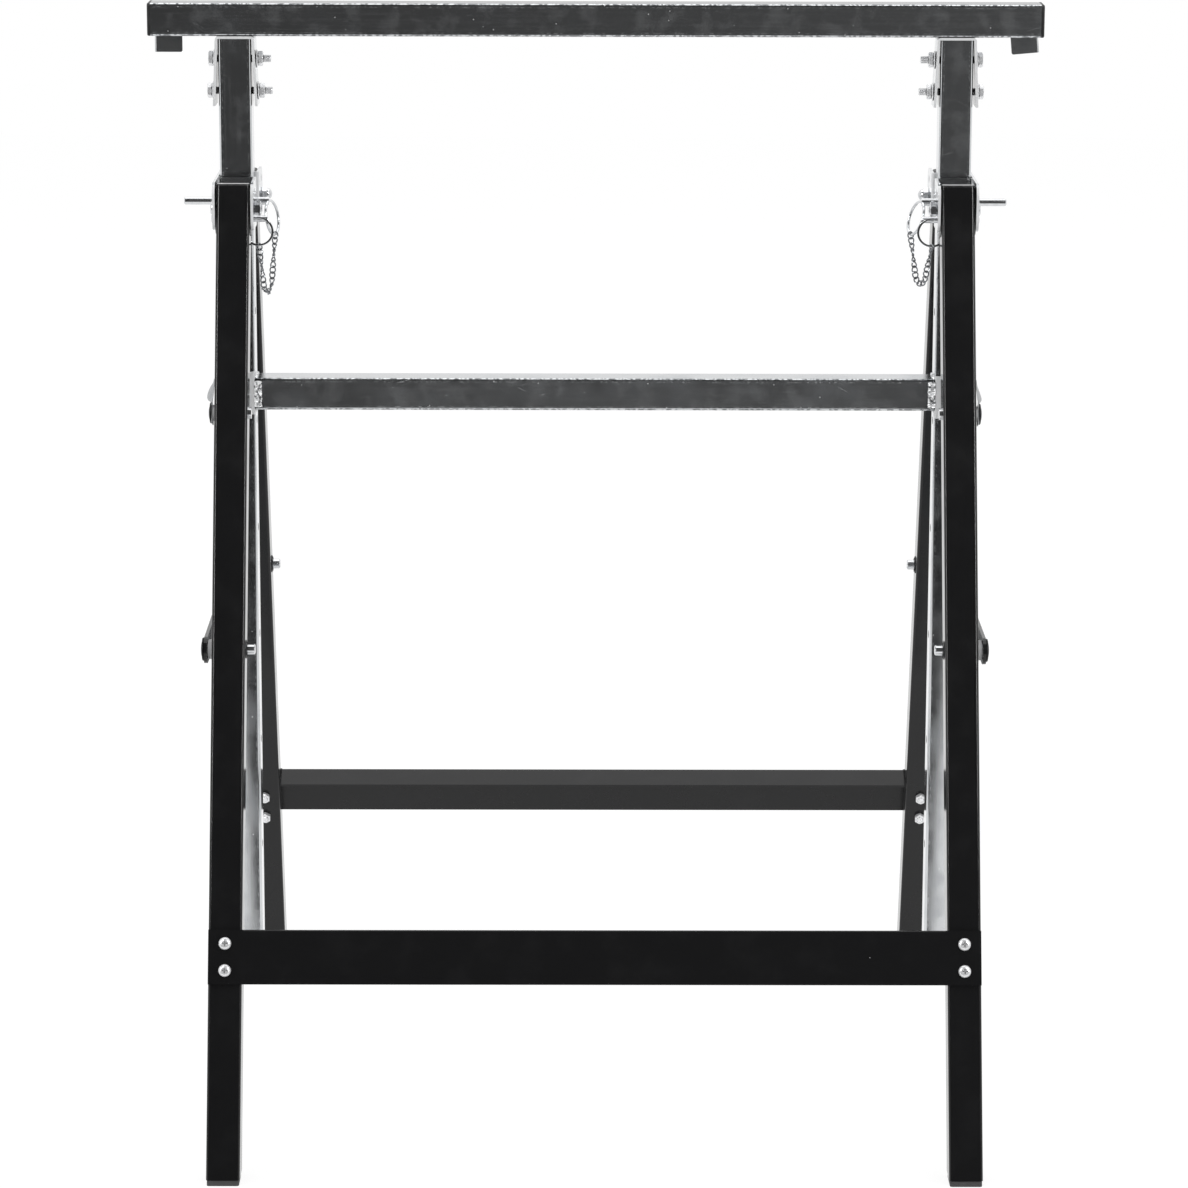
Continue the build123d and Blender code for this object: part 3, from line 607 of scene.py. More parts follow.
# Link pins, spacers, caps and star washers
# Each link turns on, or hooks over, an 8 mm pin through the leg. A nylon spacer holds it off the
# leg, a black push-on cap closes the pin outside and a toothed push-on washer grips it inside.
BLACK_STEEL = "#1c1c1d"
BLACK_STEEL_WORN = "#3c3d3f"
NYLON = "#e6e6e7"
NYLON_SCUFF = "#d2d3d4"
OXIDE_MM = 5
LINK_CAP = 17.5
CAP_LIP = ((0, 0.6), (0.2, 0.1))
CAP_ROLL = (0.6, 0.9)
CAP_GROOVE = (1.3, 1.5, 2.3)
CAP_MIDDLE = (1.7, 3.0)
CAP_ANGLES = (0.3, 0.6, 0.9, 1.2, 1.5)
WASHER = 14.0
WASHER_SHEET = 0.5
WASHER_EDGE = 0.1
WASHER_GRIP = 4.05
WASHER_SLOT = 5.7
WASHER_TEETH = 6
WASHER_TOOTH_SLOPE = 3
WASHER_SIDES = 96


def blackened_spring_steel():
    """Spring steel under black oxide: dark, slightly oily, worn paler in patches."""
    material, tree, shader, place = start_material("blackened_spring_steel", BLACK_STEEL, 0.7, 0.4)
    patch = add(tree, "TexNoise", Vector=place, Scale=1000 / OXIDE_MM, Detail=5)
    worn = add(tree, "MapRange", patch, 0.5, 0.75)
    tint = add(tree, "Mix", worn, linear(BLACK_STEEL), linear(BLACK_STEEL_WORN), data_type="RGBA")
    rough = add(tree, "MapRange", patch, 0.3, 0.7, 0.3, 0.5)
    relief = add(tree, "Bump", Strength=0.15, Distance=0.05 * MM, Height=patch)
    wire(tree, shader, {"Base Color": tint, "Roughness": rough, "Normal": relief})
    return material


def push_cap(length, width):
    """Domed push-on cap: a rolled rim, a shallow groove and a raised middle."""
    rim = width / 2
    edge, roll = CAP_ROLL
    groove, outer, inner = CAP_GROOVE
    base, inset = CAP_MIDDLE
    steps = [(height, rim - step) for height, step in CAP_LIP] + [(edge, rim)]
    steps += rounding(edge, rim, roll, EDGE_ANGLES)
    steps += [(groove, rim - outer), (groove, rim - inner), (base, rim - inset)]
    return turned(steps + domed(base, length - base, rim - inset, CAP_ANGLES))


def link_cap(length):
    """The cap on a link's pin."""
    return push_cap(length, LINK_CAP)


def star_washer(length):
    """Dished ring whose inner edge is cut into teeth that grip the pin."""
    def inner(angle, height):
        tooth = cos(angle * WASHER_TEETH)
        share = min(1.0, max(0.0, 0.5 + WASHER_TOOTH_SLOPE * tooth))
        return WASHER_SLOT + (WASHER_GRIP - WASHER_SLOT) * share
    rim = WASHER / 2
    edge = WASHER_EDGE
    steps = [(0, rim - 2 * edge), (edge, rim), (WASHER_SHEET, rim - edge)]
    steps += [(WASHER_SHEET + edge, WASHER_SLOT + 4 * edge), (length, inner)]
    steps += [(length - WASHER_SHEET, inner), (edge, WASHER_SLOT + 2 * edge)]
    return turned(steps, closed=True, sides=WASHER_SIDES)


black_steel = blackened_spring_steel()
grey_nylon = moulded_plastic("moulded_grey_nylon", NYLON, NYLON_SCUFF, 0.5)
for pin, part in (("link", "pins"), ("hook", "pegs")):
    dress(bright_zinc, f"{pin}_{part}")
    dress(grey_nylon, f"{pin}_spacers")
    fasteners(f"{pin}_push_caps", outward, link_cap, black_steel)
    fasteners(f"{pin}_washers", inward, star_washer, black_steel)

# Spring clips
# A strip of zinc-plated spring steel on each front leg, held under a capped pin, that grips the
# folded link. It is bent in a press, so its bends are round, and its rear edge flares off the leg.
CLIP_ZINC = "#b9bbbd"
CLIP_ZINC_SHADE = "#a3a5a7"
CLIP_WIDTH = 12.0
CLIP_SHEET = 0.8
CLIP_EDGE = 0.15
CLIP_TIP = 12.55
CLIP_LOW = 8.4
CLIP_LINE = ((14.1, -8.4), (14.1, 8.4), (13.5, 11.0), (12.8, 19.0), (12.55, 25.0))
CLIP_FLARE = ((0, 0, 5.6, 4.6, 0.9), (0, 0, 4.4, 2.6, 0.3))
CLIP_CAP = 16.0


def rounded(line, times=3):
    """A line of points with its corners cut again and again until they are round."""
    line = [Vector(point) for point in line]
    for _ in range(times):
        cut = [line[0]]
        for here, ahead in zip(line, line[1:]):
            cut += [here.lerp(ahead, 0.25), here.lerp(ahead, 0.75)]
        line = cut + [line[-1]]
    return line


def strip_outline(width, thick, cut):
    """Section of a flat strip whose four edges are cut."""
    side = width / 2
    return [(-side, cut), (cut - side, 0), (side - cut, 0), (side, cut), (side, thick - cut),
            (side - cut, thick), (cut - side, thick), (-side, thick - cut)]


def placed(start, across, aside, along):
    """A matrix that sets a piece drawn in mm at a start, its X, Y and Z along three directions."""
    turn = Matrix((across, aside, along)).transposed().to_4x4()
    return Matrix.Translation(start) @ turn @ Matrix.Scale(MM, 4)


def clip_strip(rear, flares):
    """Strip bent along its line: X off the leg, Y across it and Z up it, rear the flared side."""
    line = rounded([(u, z, flare) for (u, z), flare in zip(CLIP_LINE, flares)])
    outline = strip_outline(CLIP_WIDTH, CLIP_SHEET, CLIP_EDGE)
    return skin([[(u + lift + flare * (0.5 + rear * y / CLIP_WIDTH), y, z) for y, lift in outline]
                 for u, z, flare in line])


def clip_cap(length):
    """The smaller cap on a clip's pin."""
    return push_cap(length, CLIP_CAP)


clip_zinc = zinc_plating("dull_clip_zinc", 0.4, 0.5, 0.15, CLIP_ZINC, CLIP_ZINC_SHADE)
for i, points in enumerate(solids("link_clips")):
    off = Vector(outward(points[0]))
    up = Vector((0, sin(lean), cos(lean)))
    across = up.cross(off)
    reach = [point.dot(across) for point in points]
    start = off * (min(point.dot(off) for point in points) - CLIP_TIP * MM)
    start += up * (min(point.dot(up) for point in points) + CLIP_LOW * MM)
    start += across * (min(reach) + max(reach)) / 2
    strip = clip_strip(1 if across.y > 0 else -1, CLIP_FLARE[0 if off.x < 0 else 1])
    piece(f"link_clip_{i + 1}", strip, clip_zinc, "link_clips", placed(start, off, across, up))
fasteners("clip_push_caps", outward, clip_cap, black_steel)
dress(bright_zinc, "clip_pins")
dress(grey_nylon, "clip_spacers")

# Posts, crossbar and beam
# 25 mm square tube, roll formed and welded from galvanised strip. The zinc is grey and smooth,
# with faint lines along it from the rolls, cloudy smudges, and light scratches from handling.
GALVANISED = "#d2d4d6"
GALVANISED_DULL = "#c2c5c8"
SCRATCH_BRIGHT = "#e9eaeb"
TARNISH = "#5a5c5e"
SILVER_PAINT = "#dedfe0"
GAP_MM = 4.0
# Real roll lines and scratches are finer, and are drawn coarser so that they show.
ROLL_LINE_MM = 1.1
ROLL_LINE_STRETCH = 0.02
ROLL_LINE_DEPTH = 0.02
CHATTER_MM = 5
CHATTER_STRETCH = 0.08
CHATTER_SHARE = 0.5
SMUDGE_MM = 30
SMUDGE_ROUGHER = 0.09
STAIN_MM = 16
STAIN_DEPTH = 0.055
DENT_MM = 2.2
SCRATCH_MM = (30, 0.7)
SCRATCH_TURNS = (0.25, -0.5)
SCRATCH_LEVEL = 0.4
MARK_ROUGHER = 0.25
MARK_DULLER = -0.4
SPECK_MM = 7
SPECK_SIZE = 0.055
SPECK_RARITY = 0.68
WORN_MM = (2.8, 0.8)
WORN_LEVEL = 0.3
SCORED_X = -0.282
SCORED_HALF_MM = 0.3
SCORED_LEVEL = 0.25
PAINTED_X = 0.2755
PAINTED_HALF = 0.016
PAINTED_RAGGED_MM = 3
PAINT_ROUGHER = 0.3
PAINT_DULLER = (-0.75, -0.2)
CRINKLE = 5.0
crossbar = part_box("post_crossbar")
CROSSBAR_Z = (crossbar[0][2] + crossbar[1][2]) / 2


def scratches(tree, place):
    """Long thin scratches that cross at two slants."""
    marks = []
    for turn in SCRATCH_TURNS:
        angled = add(tree, "Mapping", Vector=place, Rotation=(0, turn, 0))
        thin = add(tree, "Mapping", Vector=angled,
                   Scale=(1 / SCRATCH_MM[0], 1, 1 / SCRATCH_MM[1]))
        streak = add(tree, "TexNoise", Vector=thin, Scale=1000, Detail=1)
        marks.append(add(tree, "MapRange", streak, 0.77, 0.83, 0, SCRATCH_LEVEL))
    return add(tree, "Math", *marks, operation="MAXIMUM")


def worn_edges(tree, spot, dents, node, across):
    """A broken line of wear beside each edge of a tube."""
    low, high = (corner[across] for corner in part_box(node))
    aside = add(tree, "Math", spot.outputs[across], operation="ABSOLUTE")
    off = add(tree, "Math", aside, (low + high) / 2, operation="SUBTRACT")
    off = add(tree, "Math", off, operation="ABSOLUTE")
    rim = add(tree, "Math", off, (high - low) / 2 - WORN_MM[0] * MM, operation="SUBTRACT")
    rim = add(tree, "Math", rim, operation="ABSOLUTE")
    rim = add(tree, "MapRange", rim, 0, WORN_MM[1] * MM, 1, 0)
    chip = add(tree, "MapRange", dents, 0.52, 0.62, 0, WORN_LEVEL)
    return add(tree, "Math", rim, chip, operation="MULTIPLY")


def tarnished_corners(tree, place, dents, across):
    """Dotted dark rubbing round the bends of a tube that runs along X."""
    facing = add(tree, "VectorMath", place.node.outputs["Normal"], operation="ABSOLUTE")
    facing = add(tree, "SeparateXYZ", facing)
    bend = add(tree, "Math", facing.outputs["Y"], facing.outputs[across], operation="MULTIPLY")
    corner = add(tree, "MapRange", bend, 0.1, 0.35)
    rubbed = add(tree, "MapRange", dents, 0.44, 0.56, 0.85, 0.1)
    return add(tree, "Math", corner, rubbed, operation="MULTIPLY")


def score_line(tree, spot):
    """A dotted score down one post."""
    aside = add(tree, "Math", spot.outputs["X"], SCORED_X, SCORED_HALF_MM * MM,
                operation="COMPARE")
    beat = add(tree, "Math", spot.outputs["Z"], 1000 / DENT_MM, operation="MULTIPLY")
    beat = add(tree, "Math", beat, operation="FRACT")
    dotted = add(tree, "MapRange", beat, 0.5, 0.7, 0, SCORED_LEVEL)
    return add(tree, "Math", aside, dotted, operation="MULTIPLY")


def paint_patch(tree, spot, cloud):
    """A ragged patch of paint on a post's inner half, level with the crossbar."""
    ragged = add(tree, "MapRange", cloud, 0.3, 0.7, -PAINTED_RAGGED_MM * MM,
                 PAINTED_RAGGED_MM * MM)
    reach = add(tree, "Math", spot.outputs["X"], operation="ABSOLUTE")
    reach = add(tree, "Math", reach, ragged, operation="ADD")
    inner = add(tree, "Math", reach, PAINTED_X, operation="LESS_THAN")
    height = add(tree, "Math", spot.outputs["Z"], ragged, operation="ADD")
    level = add(tree, "Math", height, CROSSBAR_Z, PAINTED_HALF, operation="COMPARE")
    return add(tree, "Math", inner, level, operation="MULTIPLY")


def galvanised_tube(name, node, along, across, smooth, edge, painted=False):
    """Galvanised tube: roll lines, stains, bright marks, and tarnish or paint beside a weld."""
    material, tree, shader, place = start_material(name, GALVANISED, 1, smooth)
    shader.inputs["Specular Tint"].default_value = (edge, edge, edge, 1)
    spot = add(tree, "SeparateXYZ", place)
    stretch = [1.0, 1.0, 1.0]
    stretch[along] = ROLL_LINE_STRETCH
    drawn = add(tree, "Mapping", Vector=place, Scale=stretch)
    lines = add(tree, "TexNoise", Vector=drawn, Scale=1000 / ROLL_LINE_MM, Detail=2)
    squeeze = [CHATTER_STRETCH] * 3
    squeeze[along] = 1.0
    crossed = add(tree, "Mapping", Vector=place, Scale=squeeze)
    chatter = add(tree, "TexNoise", Vector=crossed, Scale=1000 / CHATTER_MM, Detail=3)
    cloud = add(tree, "TexNoise", Vector=place, Scale=1000 / SMUDGE_MM, Detail=6)
    blotch = add(tree, "TexNoise", Vector=place, Scale=1000 / STAIN_MM, Detail=5)
    dents = add(tree, "TexNoise", Vector=place, Scale=1000 / DENT_MM, Detail=2)

    smudge = add(tree, "MapRange", cloud, 0.5, 0.75)
    tint = add(tree, "Mix", smudge, linear(GALVANISED), linear(GALVANISED_DULL), data_type="RGBA")
    rough = add(tree, "MapRange", cloud, 0.4, 0.75, smooth, smooth + SMUDGE_ROUGHER)
    stain = add(tree, "MapRange", blotch, 0.5, 0.66)
    metal = add(tree, "Math", stain, -STAIN_DEPTH, 1.0, operation="MULTIPLY_ADD")
    streaky = add(tree, "MapRange", lines, 0.45, 0.7, 0, -ROLL_LINE_DEPTH)
    metal = add(tree, "Math", metal, streaky, operation="ADD")
    ripple = add(tree, "Math", chatter, CHATTER_SHARE, lines, operation="MULTIPLY_ADD")
    marks = [flecks(tree, place, SPECK_MM, SPECK_SIZE, SPECK_RARITY),
             worn_edges(tree, spot, dents, node, across)]

    if painted:
        marks.append(score_line(tree, spot))
        paint = paint_patch(tree, spot, cloud)
        tint = add(tree, "Mix", paint, tint, linear(SILVER_PAINT), data_type="RGBA")
        rough = add(tree, "Math", paint, PAINT_ROUGHER, rough, operation="MULTIPLY_ADD")
        daub = add(tree, "MapRange", dents, 0.35, 0.6, *PAINT_DULLER)
        metal = add(tree, "Math", paint, daub, metal, operation="MULTIPLY_ADD")
        crinkle = add(tree, "Math", dents, CRINKLE, operation="MULTIPLY")
        ripple = add(tree, "Math", paint, crinkle, ripple, operation="MULTIPLY_ADD")
    else:
        rubbed = tarnished_corners(tree, place, dents, across)
        tint = add(tree, "Mix", rubbed, tint, linear(TARNISH), data_type="RGBA")

    bright = scratches(tree, place)
    for mark in marks:
        bright = add(tree, "Math", bright, mark, operation="MAXIMUM")
    tint = add(tree, "Mix", bright, tint, linear(SCRATCH_BRIGHT), data_type="RGBA")
    # Painted shade on the posts where the saddles, guides and crossbar stand close.
    if painted:
        tint = painted_shade_in_gaps(tree, tint, GAP_MM)
    rough = add(tree, "Math", bright, MARK_ROUGHER, rough, operation="MULTIPLY_ADD")
    metal = add(tree, "Math", bright, MARK_DULLER, metal, operation="MULTIPLY_ADD")
    relief = add(tree, "Bump", Strength=0.06, Distance=0.05 * MM, Height=ripple)
    wire(tree, shader,
         {"Base Color": tint, "Metallic": metal, "Roughness": rough, "Normal": relief})
    return material


post_tube = galvanised_tube("galvanised_post", "right_post", 2, 0, 0.1, 1.0, painted=True)
dress(post_tube, "left_post", "right_post")
dress(galvanised_tube("galvanised_crossbar", "post_crossbar", 0, 2, 0.15, 0.9), "post_crossbar")
dress(galvanised_tube("galvanised_beam", "top_beam", 0, 2, 0.1, 0.65), "top_beam")

# Crossbar welds
# The crossbar is butted between the posts and welded all round by hand: lumpy rippled beads,
# brushed over with silver paint.
WELD_SILVER = "#eaebec"
WELD_SHADE = "#4c4e50"
WELD_GRAIN_MM = 2.0
WELD_RIPPLE = 1.9
WELD_PROUD = 1.5
FILLET_PROUD = 2.0
WELD_SUNK = 0.4
WELD_SWELL_MM = 2.0
WELD_SWELL = (0.2, 0.35)
WELD_WAVE = (0.08, 0.25)
WELD_LUMP = 0.12
WELD_END = 0.3
WELD_SEED_STEP = 5
WELD_STEPS = 6
WELD_ARC = 12


def painted_weld():
    """Weld bead under silver paint: bright, rough and pitted."""
    material, tree, shader, place = start_material("silver_painted_weld", WELD_SILVER, 0.6, 0.25)
    pits = add(tree, "TexNoise", Vector=place, Scale=1000 / WELD_GRAIN_MM, Detail=4)
    dark = add(tree, "MapRange", pits, 0.5, 0.62)
    tint = add(tree, "Mix", dark, linear(WELD_SILVER), linear(WELD_SHADE), data_type="RGBA")
    relief = add(tree, "Bump", Strength=1.0, Distance=0.6 * MM, Height=pits)
    wire(tree, shader, {"Base Color": tint, "Normal": relief})
    return material


def weld_bead(length, width, proud, seed):
    """Hand-laid bead along Z, proud along Y: overlapping ripples of uneven width and height."""
    count = WELD_STEPS * round(length / WELD_RIPPLE)
    wide_swell, high_swell = WELD_SWELL
    wide_wave, high_wave = WELD_WAVE
    rings = []
    for i in range(count + 1):
        along = length * i / count
        ripple = abs(sin(pi * along / WELD_RIPPLE))
        swell = noise.noise((along / WELD_SWELL_MM, seed, 0))
        end = min(1.0, WELD_END + min(along, length - along))
        side = width / 2 * end * (1 + wide_swell * swell + wide_wave * ripple)
        rise = proud * end * (1 - high_wave + high_wave * ripple + high_swell * swell)
        ring = []
        for k in range(WELD_ARC + 1):
            angle = pi * k / WELD_ARC
            lump = 1 + WELD_LUMP * noise.noise((along, 2 * angle, seed))
            ring.append((-side * cos(angle), rise * lump * sin(angle) - WELD_SUNK, along))
        rings.append(ring)
    return skin(rings)


weld_paint = painted_weld()
for i, points in enumerate(solids("crossbar_welds")):
    low = Vector([min(point[k] for point in points) for k in range(3)])
    high = Vector([max(point[k] for point in points) for k in range(3)])
    middle = (low + high) / 2
    side = outward(middle)[0]
    if high.z - low.z > high.y - low.y:
        along = Vector((0, 0, 1))
        off = Vector((0, 1 if middle.y > 0 else -1, 0))
        start = Vector((middle.x, crossbar[1][1] * off.y, low.z))
        width = (high.x - low.x) / MM
        proud = WELD_PROUD
    else:
        along = Vector((0, 1, 0))
        top = middle.z > CROSSBAR_Z
        off = Vector((-side, 0, 1 if top else -1)).normalized()
        start = Vector((crossbar[1][0] * side, low.y, crossbar[1 if top else 0][2]))
        width = sqrt(2) * (high.z - low.z) / MM
        proud = FILLET_PROUD
    bead = weld_bead((high - low).dot(along) / MM, width, proud, WELD_SEED_STEP * i)
    piece(f"crossbar_weld_{i + 1}", bead, weld_paint, "crossbar_welds",
          placed(start, off.cross(along), off, along))

# Saddles and stops
# Folded straps under the beam take the post tops, and folded plates on the beam's rear face flip
# up as stops. Both are pressed from zinc-plated sheet like the brackets.
ZINC_FOLD = "#b6b8ba"
saddle_sheet = zinc_plated_sheet("zinc_plated_saddle_sheet", 1, ZINC_MATT, gap_mm=GAP_MM)
stop_sheet = zinc_plated_sheet("zinc_plated_stop_sheet", 0, ZINC_FOLD)
dress(saddle_sheet, "left_saddle", "right_saddle")
dress(stop_sheet, "left_stop", "right_stop")

# Saddle bolts and nuts
# M6 flange bolts run through saddle and post, heads outside, with flange nuts on the inner ends.
# Cold forged with rolled threads, and zinc plated like the bar screws.
FLANGE = 13.6
FLANGE_EDGE = 0.2
FLANGE_RIM = 0.6
FLANGE_RISE = 1.2
FLANGE_SLOPE = 1
SADDLE_HEAD = 4.8
HEAD_DISH = (3.4, 3.0, 0.4)


def flange_steps(base):
    """Steps of a flange that stands on a height."""
    rim = FLANGE / 2
    return [(base, rim - FLANGE_EDGE), (base + FLANGE_EDGE, rim), (base + FLANGE_RIM, rim),
            (base + FLANGE_RISE, rim - FLANGE_SLOPE)]


def flange_bolt(length):
    """Threaded shank, washer-like flange and hexagon head with a shallow dish."""
    neck = length - SADDLE_HEAD
    outer, inner, depth = HEAD_DISH
    steps = threaded(M6, M6_PITCH, 0, neck, steps=5) + flange_steps(neck)
    steps += chamfered_hexagon(M6_NUT, neck + FLANGE_RISE, length)
    return turned(steps + [(length, outer), (length - depth, inner)])


def flange_nut(length):
    """Flange and hexagon with a plain bore."""
    bore = M6 / 2 + BORE_GAP
    steps = flange_steps(0) + chamfered_hexagon(M6_NUT, FLANGE_RISE, length)
    return turned(steps + [(length, bore), (0, bore)], closed=True)


fasteners("saddle_bolts", outward, flange_bolt, pale_zinc)
fasteners("saddle_nuts", inward, flange_nut, pale_zinc)

# Stop screws and nuts
# One M5 pan-head screw in the beam's rear wall is the pin that each stop turns on, with a plain
# nut. Bright zinc plated.


def rearward(middle):
    """Straight to the rear, wherever the middle is."""
    return (0, 1, 0)


fasteners("stop_screws", rearward, pan_screw, bright_zinc)
fasteners("stop_nuts", rearward, m5_nut, bright_zinc)

# Lock pins and pull rings
# Plain 6 mm pins through plate and post, each with a pull ring of bent wire at its inner end.
# Bright zinc-plated steel.
dress(bright_zinc, "left_lock_pin", "right_lock_pin", "left_pull_ring", "right_pull_ring")

# Split rings
# Key rings in the front ears that hold the chains: two turns of flattened spring wire, zinc
# plated as bright as the pins.
SPLIT_RADIUS = 10.5
SPLIT_WIDTH = 1.6
SPLIT_TURNS = 2
SPLIT_STEPS = 72
SPLIT_EDGE = 0.08
SPLIT_FILL = 0.94


def split_ring(length):
    """Flat wire coiled about Z."""
    steps = SPLIT_STEPS * SPLIT_TURNS
    thick = length / SPLIT_TURNS
    rings = []
    for i in range(steps + 1):
        angle = 2 * pi * SPLIT_TURNS * i / steps
        base = (length - thick) * i / steps
        ring = []
        for out, share in strip_outline(SPLIT_WIDTH, 1, SPLIT_EDGE):
            radius = SPLIT_RADIUS + out
            height = base + SPLIT_FILL * thick * share
            ring.append((radius * cos(angle), radius * sin(angle), height))
        rings.append(ring)
    return skin(rings)


fasteners("split_rings", rearward, split_ring, bright_zinc)

# Chains
# Small curb chains that keep the lock pins with the stand: wire links, each twisted so that the
# next lies flat against it. Zinc plated and gone dull.
CHAIN_ZINC = "#97999c"
CHAIN_ZINC_SHADE = "#6e7073"
CHAIN_WIRE = 1.1
CHAIN_LINK = (2.05, 2.8)
CHAIN_TWIST = radians(45)
CHAIN_TURN = radians(28)
LINK_STEPS = 28
WIRE_SIDES = 8


def curb_link():
    """A closed loop of wire, long along Z, its ends twisted opposite ways."""
    wide, long = CHAIN_LINK
    line = []
    for i in range(LINK_STEPS):
        angle = 2 * pi * i / LINK_STEPS
        twist = CHAIN_TWIST * sin(angle)
        reach = wide * cos(angle)
        line.append(Vector((reach * cos(twist), reach * sin(twist), long * sin(angle))))
    rings = []
    for i, point in enumerate(line):
        ahead = (line[(i + 1) % LINK_STEPS] - line[i - 1]).normalized()
        out = (point - ahead * point.dot(ahead)).normalized()
        aside = ahead.cross(out)
        rings.append([point + (out * cos(a) + aside * sin(a)) * CHAIN_WIRE / 2
                      for a in (2 * pi * k / WIRE_SIDES for k in range(WIRE_SIDES))])
    return skin(rings, closed=True)


def hang_chain(side):
    """Links that follow the pin at the pull ring's end and the bracket at the split ring's."""
    node = f"{side}_chain"
    left = [sum(points, Vector()) / len(points) for points in solids(node)]
    line = [max(left, key=lambda middle: middle.y)]
    left.remove(line[0])
    while left:
        line.append(min(left, key=lambda middle: (middle - line[-1]).length))
        left.remove(line[-1])
    count = len(line)
    for i, middle in enumerate(line):
        ahead = (line[min(i + 1, count - 1)] - line[max(i - 1, 0)]).normalized()
        wide = Vector((1, 0, 0))
        wide = (wide - ahead * wide.dot(ahead)).normalized()
        turn = Matrix((wide, ahead.cross(wide), ahead)).transposed().to_4x4()
        turn = turn @ Matrix.Rotation(CHAIN_TURN * i, 4, "Z")
        place = Matrix.Translation(middle) @ turn @ Matrix.Scale(MM, 4)
        made = piece(f"{node}_{i + 1}", curb_link(), chain_zinc, node, place, rides=False)
        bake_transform(made)


chain_zinc = zinc_plating("dull_chain_zinc", 0.2, 0.35, 1, CHAIN_ZINC, CHAIN_ZINC_SHADE)
for side in ("left", "right"):
    hang_chain(side)

# Studio
# A white floor that runs out of view and soft light from all round. In front of the stand, sheets
# that only the bright metal mirrors paint a dark reflection of a dim room behind the camera,
# fading to white near the stand, and two glowing strips paint highlights on the legs' corners.
STUDIO_WHITE = "#f4f4f4"
FLOOR = 6.0
FLOOR_SEEN = 0.8
FLOOR_GLOW = 1.1
SKY_LEVEL = (0.6, 1.0)
# Sheets seen only in mirroring metal, which light nothing and cast no shadow.
ROOM_HALF = 3.2
ROOM_BACK = -4.2
ROOM_FRONT = -0.9
ROOM_TOP = 5.0
ROOM_LIFT = 0.003
ROOM_EDGE = (-1.9, -1.0)
ROOM_SPREAD = 1.5
ROOM_LEVEL = (0.036, 0.095)
# Two glowing strips seen only in mirroring metal: painted highlights along the legs' corners.
STRIP = (1.65, 2.15)
STRIP_Y = -3.5
STRIP_HEIGHT = (1.7, 4.2)
STRIP_LEVEL = 26.0
LAMP_AIM = Vector((0, 0, 0.45))


def sheet(name, corners, material):
    """A flat staged sheet."""
    data = bpy.data.meshes.new(name)
    data.from_pydata(corners, [], [(0, 1, 2, 3)])
    data.materials.append(material)
    made = bpy.data.objects.new(name, data)
    bpy.context.scene.collection.objects.link(made)
    return made


def level_corners(half, back, front, height):
    """Corners of a sheet that lies flat at a height."""
    return [(-half, back, height), (half, back, height), (half, front, height),
            (-half, front, height)]


def upright_corners(left, right, depth, low, high):
    """Corners of a sheet that stands square to the view."""
    return [(left, depth, low), (right, depth, low), (right, depth, high), (left, depth, high)]


def seen_or_mirrored(tree, *more):
    """One for rays that the camera sends or that metal mirrors, and for more kinds of ray."""
    path = add(tree, "LightPath")
    seen = path.outputs["Is Camera Ray"]
    for kind in ("Is Glossy Ray", *more):
        seen = add(tree, "Math", seen, path.outputs[kind], operation="MAXIMUM")
    return seen


def glowing(name):
    """A material that only shines: its tree, its glow and the object's own coordinates."""
    material, tree, _, place = start_material(name, STUDIO_WHITE, 0, 0.9)
    glow = add(tree, "Emission")
    feed(tree, tree.nodes["Material Output"].inputs["Surface"], glow)
    return material, tree, glow, place


white, tree, shader, _ = start_material("white_studio_floor", STUDIO_WHITE, 0, 0.9)
share = add(tree, "Math", seen_or_mirrored(tree), FLOOR_SEEN, operation="MULTIPLY")
glow = add(tree, "Emission", Strength=FLOOR_GLOW)
mixed = add(tree, "MixShader", share, shader, glow)
feed(tree, tree.nodes["Material Output"].inputs["Surface"], mixed)
sheet("floor", level_corners(FLOOR, -FLOOR, FLOOR, 0), white)

# Painted dark reflection: white near the stand, dim further off, a little lighter to the right.
room_reflection_glow, tree, glow, place = glowing("painted_room_reflection")
spot = add(tree, "SeparateXYZ", place)
room = add(tree, "MapRange", spot.outputs["X"], -ROOM_SPREAD, ROOM_SPREAD, *ROOM_LEVEL)
level = add(tree, "MapRange", spot.outputs["Y"], *ROOM_EDGE, room,
            interpolation_type="SMOOTHSTEP")
feed(tree, glow.inputs["Strength"], level)
# Painted highlight strips, bright but lighting nothing.
painted_highlight_glow, tree, glow, _ = glowing("front_softbox")
feed(tree, glow.inputs["Strength"], STRIP_LEVEL)
reflection_only_sheets = [
    sheet("painted_reflection_floor", level_corners(ROOM_HALF, ROOM_BACK, ROOM_FRONT, ROOM_LIFT), room_reflection_glow),
    sheet("painted_reflection_wall", upright_corners(-ROOM_HALF, ROOM_HALF, ROOM_BACK, 0.0, ROOM_TOP), room_reflection_glow),
    sheet("painted_reflection_ceiling", level_corners(ROOM_HALF, ROOM_BACK, ROOM_FRONT, ROOM_TOP), room_reflection_glow),
]
for side, left, right in (("left", -STRIP[1], -STRIP[0]), ("right", *STRIP)):
    corners = upright_corners(left, right, STRIP_Y, *STRIP_HEIGHT)
    reflection_only_sheets.append(sheet(f"front_softbox_{side}", corners, painted_highlight_glow))
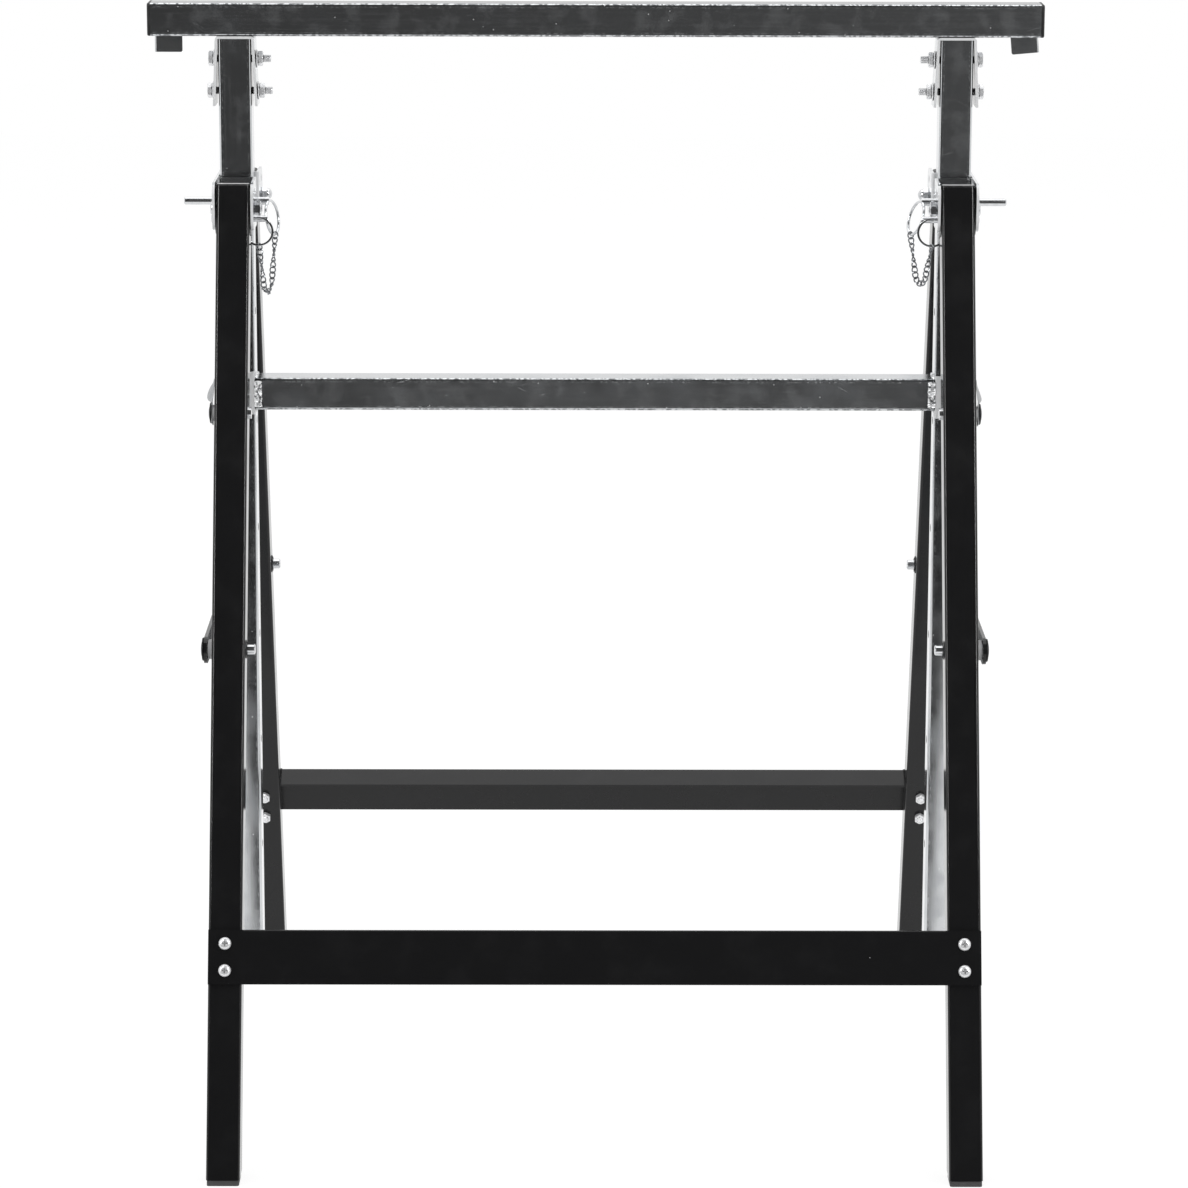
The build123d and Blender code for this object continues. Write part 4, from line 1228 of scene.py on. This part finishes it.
for made in reflection_only_sheets:
    made.visible_camera = False
    made.visible_diffuse = False
    made.visible_shadow = False

world = bpy.data.worlds.new("studio")
bpy.context.scene.world = world
world.use_nodes = True
tree = world.node_tree
sky = tree.nodes["Background"]
level = add(tree, "MapRange", seen_or_mirrored(tree, "Is Transmission Ray"), 0, 1, *SKY_LEVEL)
sky.inputs["Color"].default_value = (1, 1, 1, 1)
feed(tree, sky.inputs["Strength"], level)


def softbox(name, location, size, power, mirrored):
    """A square area lamp aimed at the middle of the stand, which bright metal mirrors or not."""
    lamp = bpy.data.lights.new(name, "AREA")
    lamp.size = size
    lamp.energy = power
    made = bpy.data.objects.new(name, lamp)
    made.location = location
    made.rotation_euler = (LAMP_AIM - Vector(location)).to_track_quat("-Z", "Y").to_euler()
    made.visible_glossy = mirrored
    bpy.context.scene.collection.objects.link(made)


softbox("softbox_top", (0, 0.4, 3.2), 3.1, 30, True)
softbox("softbox_left", (-2.8, -0.6, 1.6), 2.4, 18, False)
softbox("softbox_right", (2.8, -0.6, 1.6), 2.4, 18, False)

# Camera
# A long lens, 3.5 m away and a little above the beam, as worked out from the photo's edges.
PHOTO = 1188
FOCAL_PX = 4646.1
CENTRE_PX = (594.3, 589.8)
SENSOR = 36.0
CAMERA = (-0.0154, -3.5395, 1.1766)
TILT_DOWN = 12.605
YAW = -0.248
ROLL = 0.15
lens = bpy.data.cameras.new("camera")
lens.sensor_width = SENSOR
lens.lens = FOCAL_PX / PHOTO * SENSOR
lens.shift_x = (PHOTO / 2 - CENTRE_PX[0]) / PHOTO
lens.shift_y = (CENTRE_PX[1] - PHOTO / 2) / PHOTO
camera = bpy.data.objects.new("camera", lens)
turn = Matrix.Rotation(radians(YAW), 4, "Z") @ Matrix.Rotation(radians(90 - TILT_DOWN), 4, "X")
turn = turn @ Matrix.Rotation(radians(ROLL), 4, "Z")
camera.matrix_world = Matrix.Translation(CAMERA) @ turn
bpy.context.scene.collection.objects.link(camera)
bpy.context.scene.camera = camera
bpy.context.scene.view_settings.view_transform = "Standard"
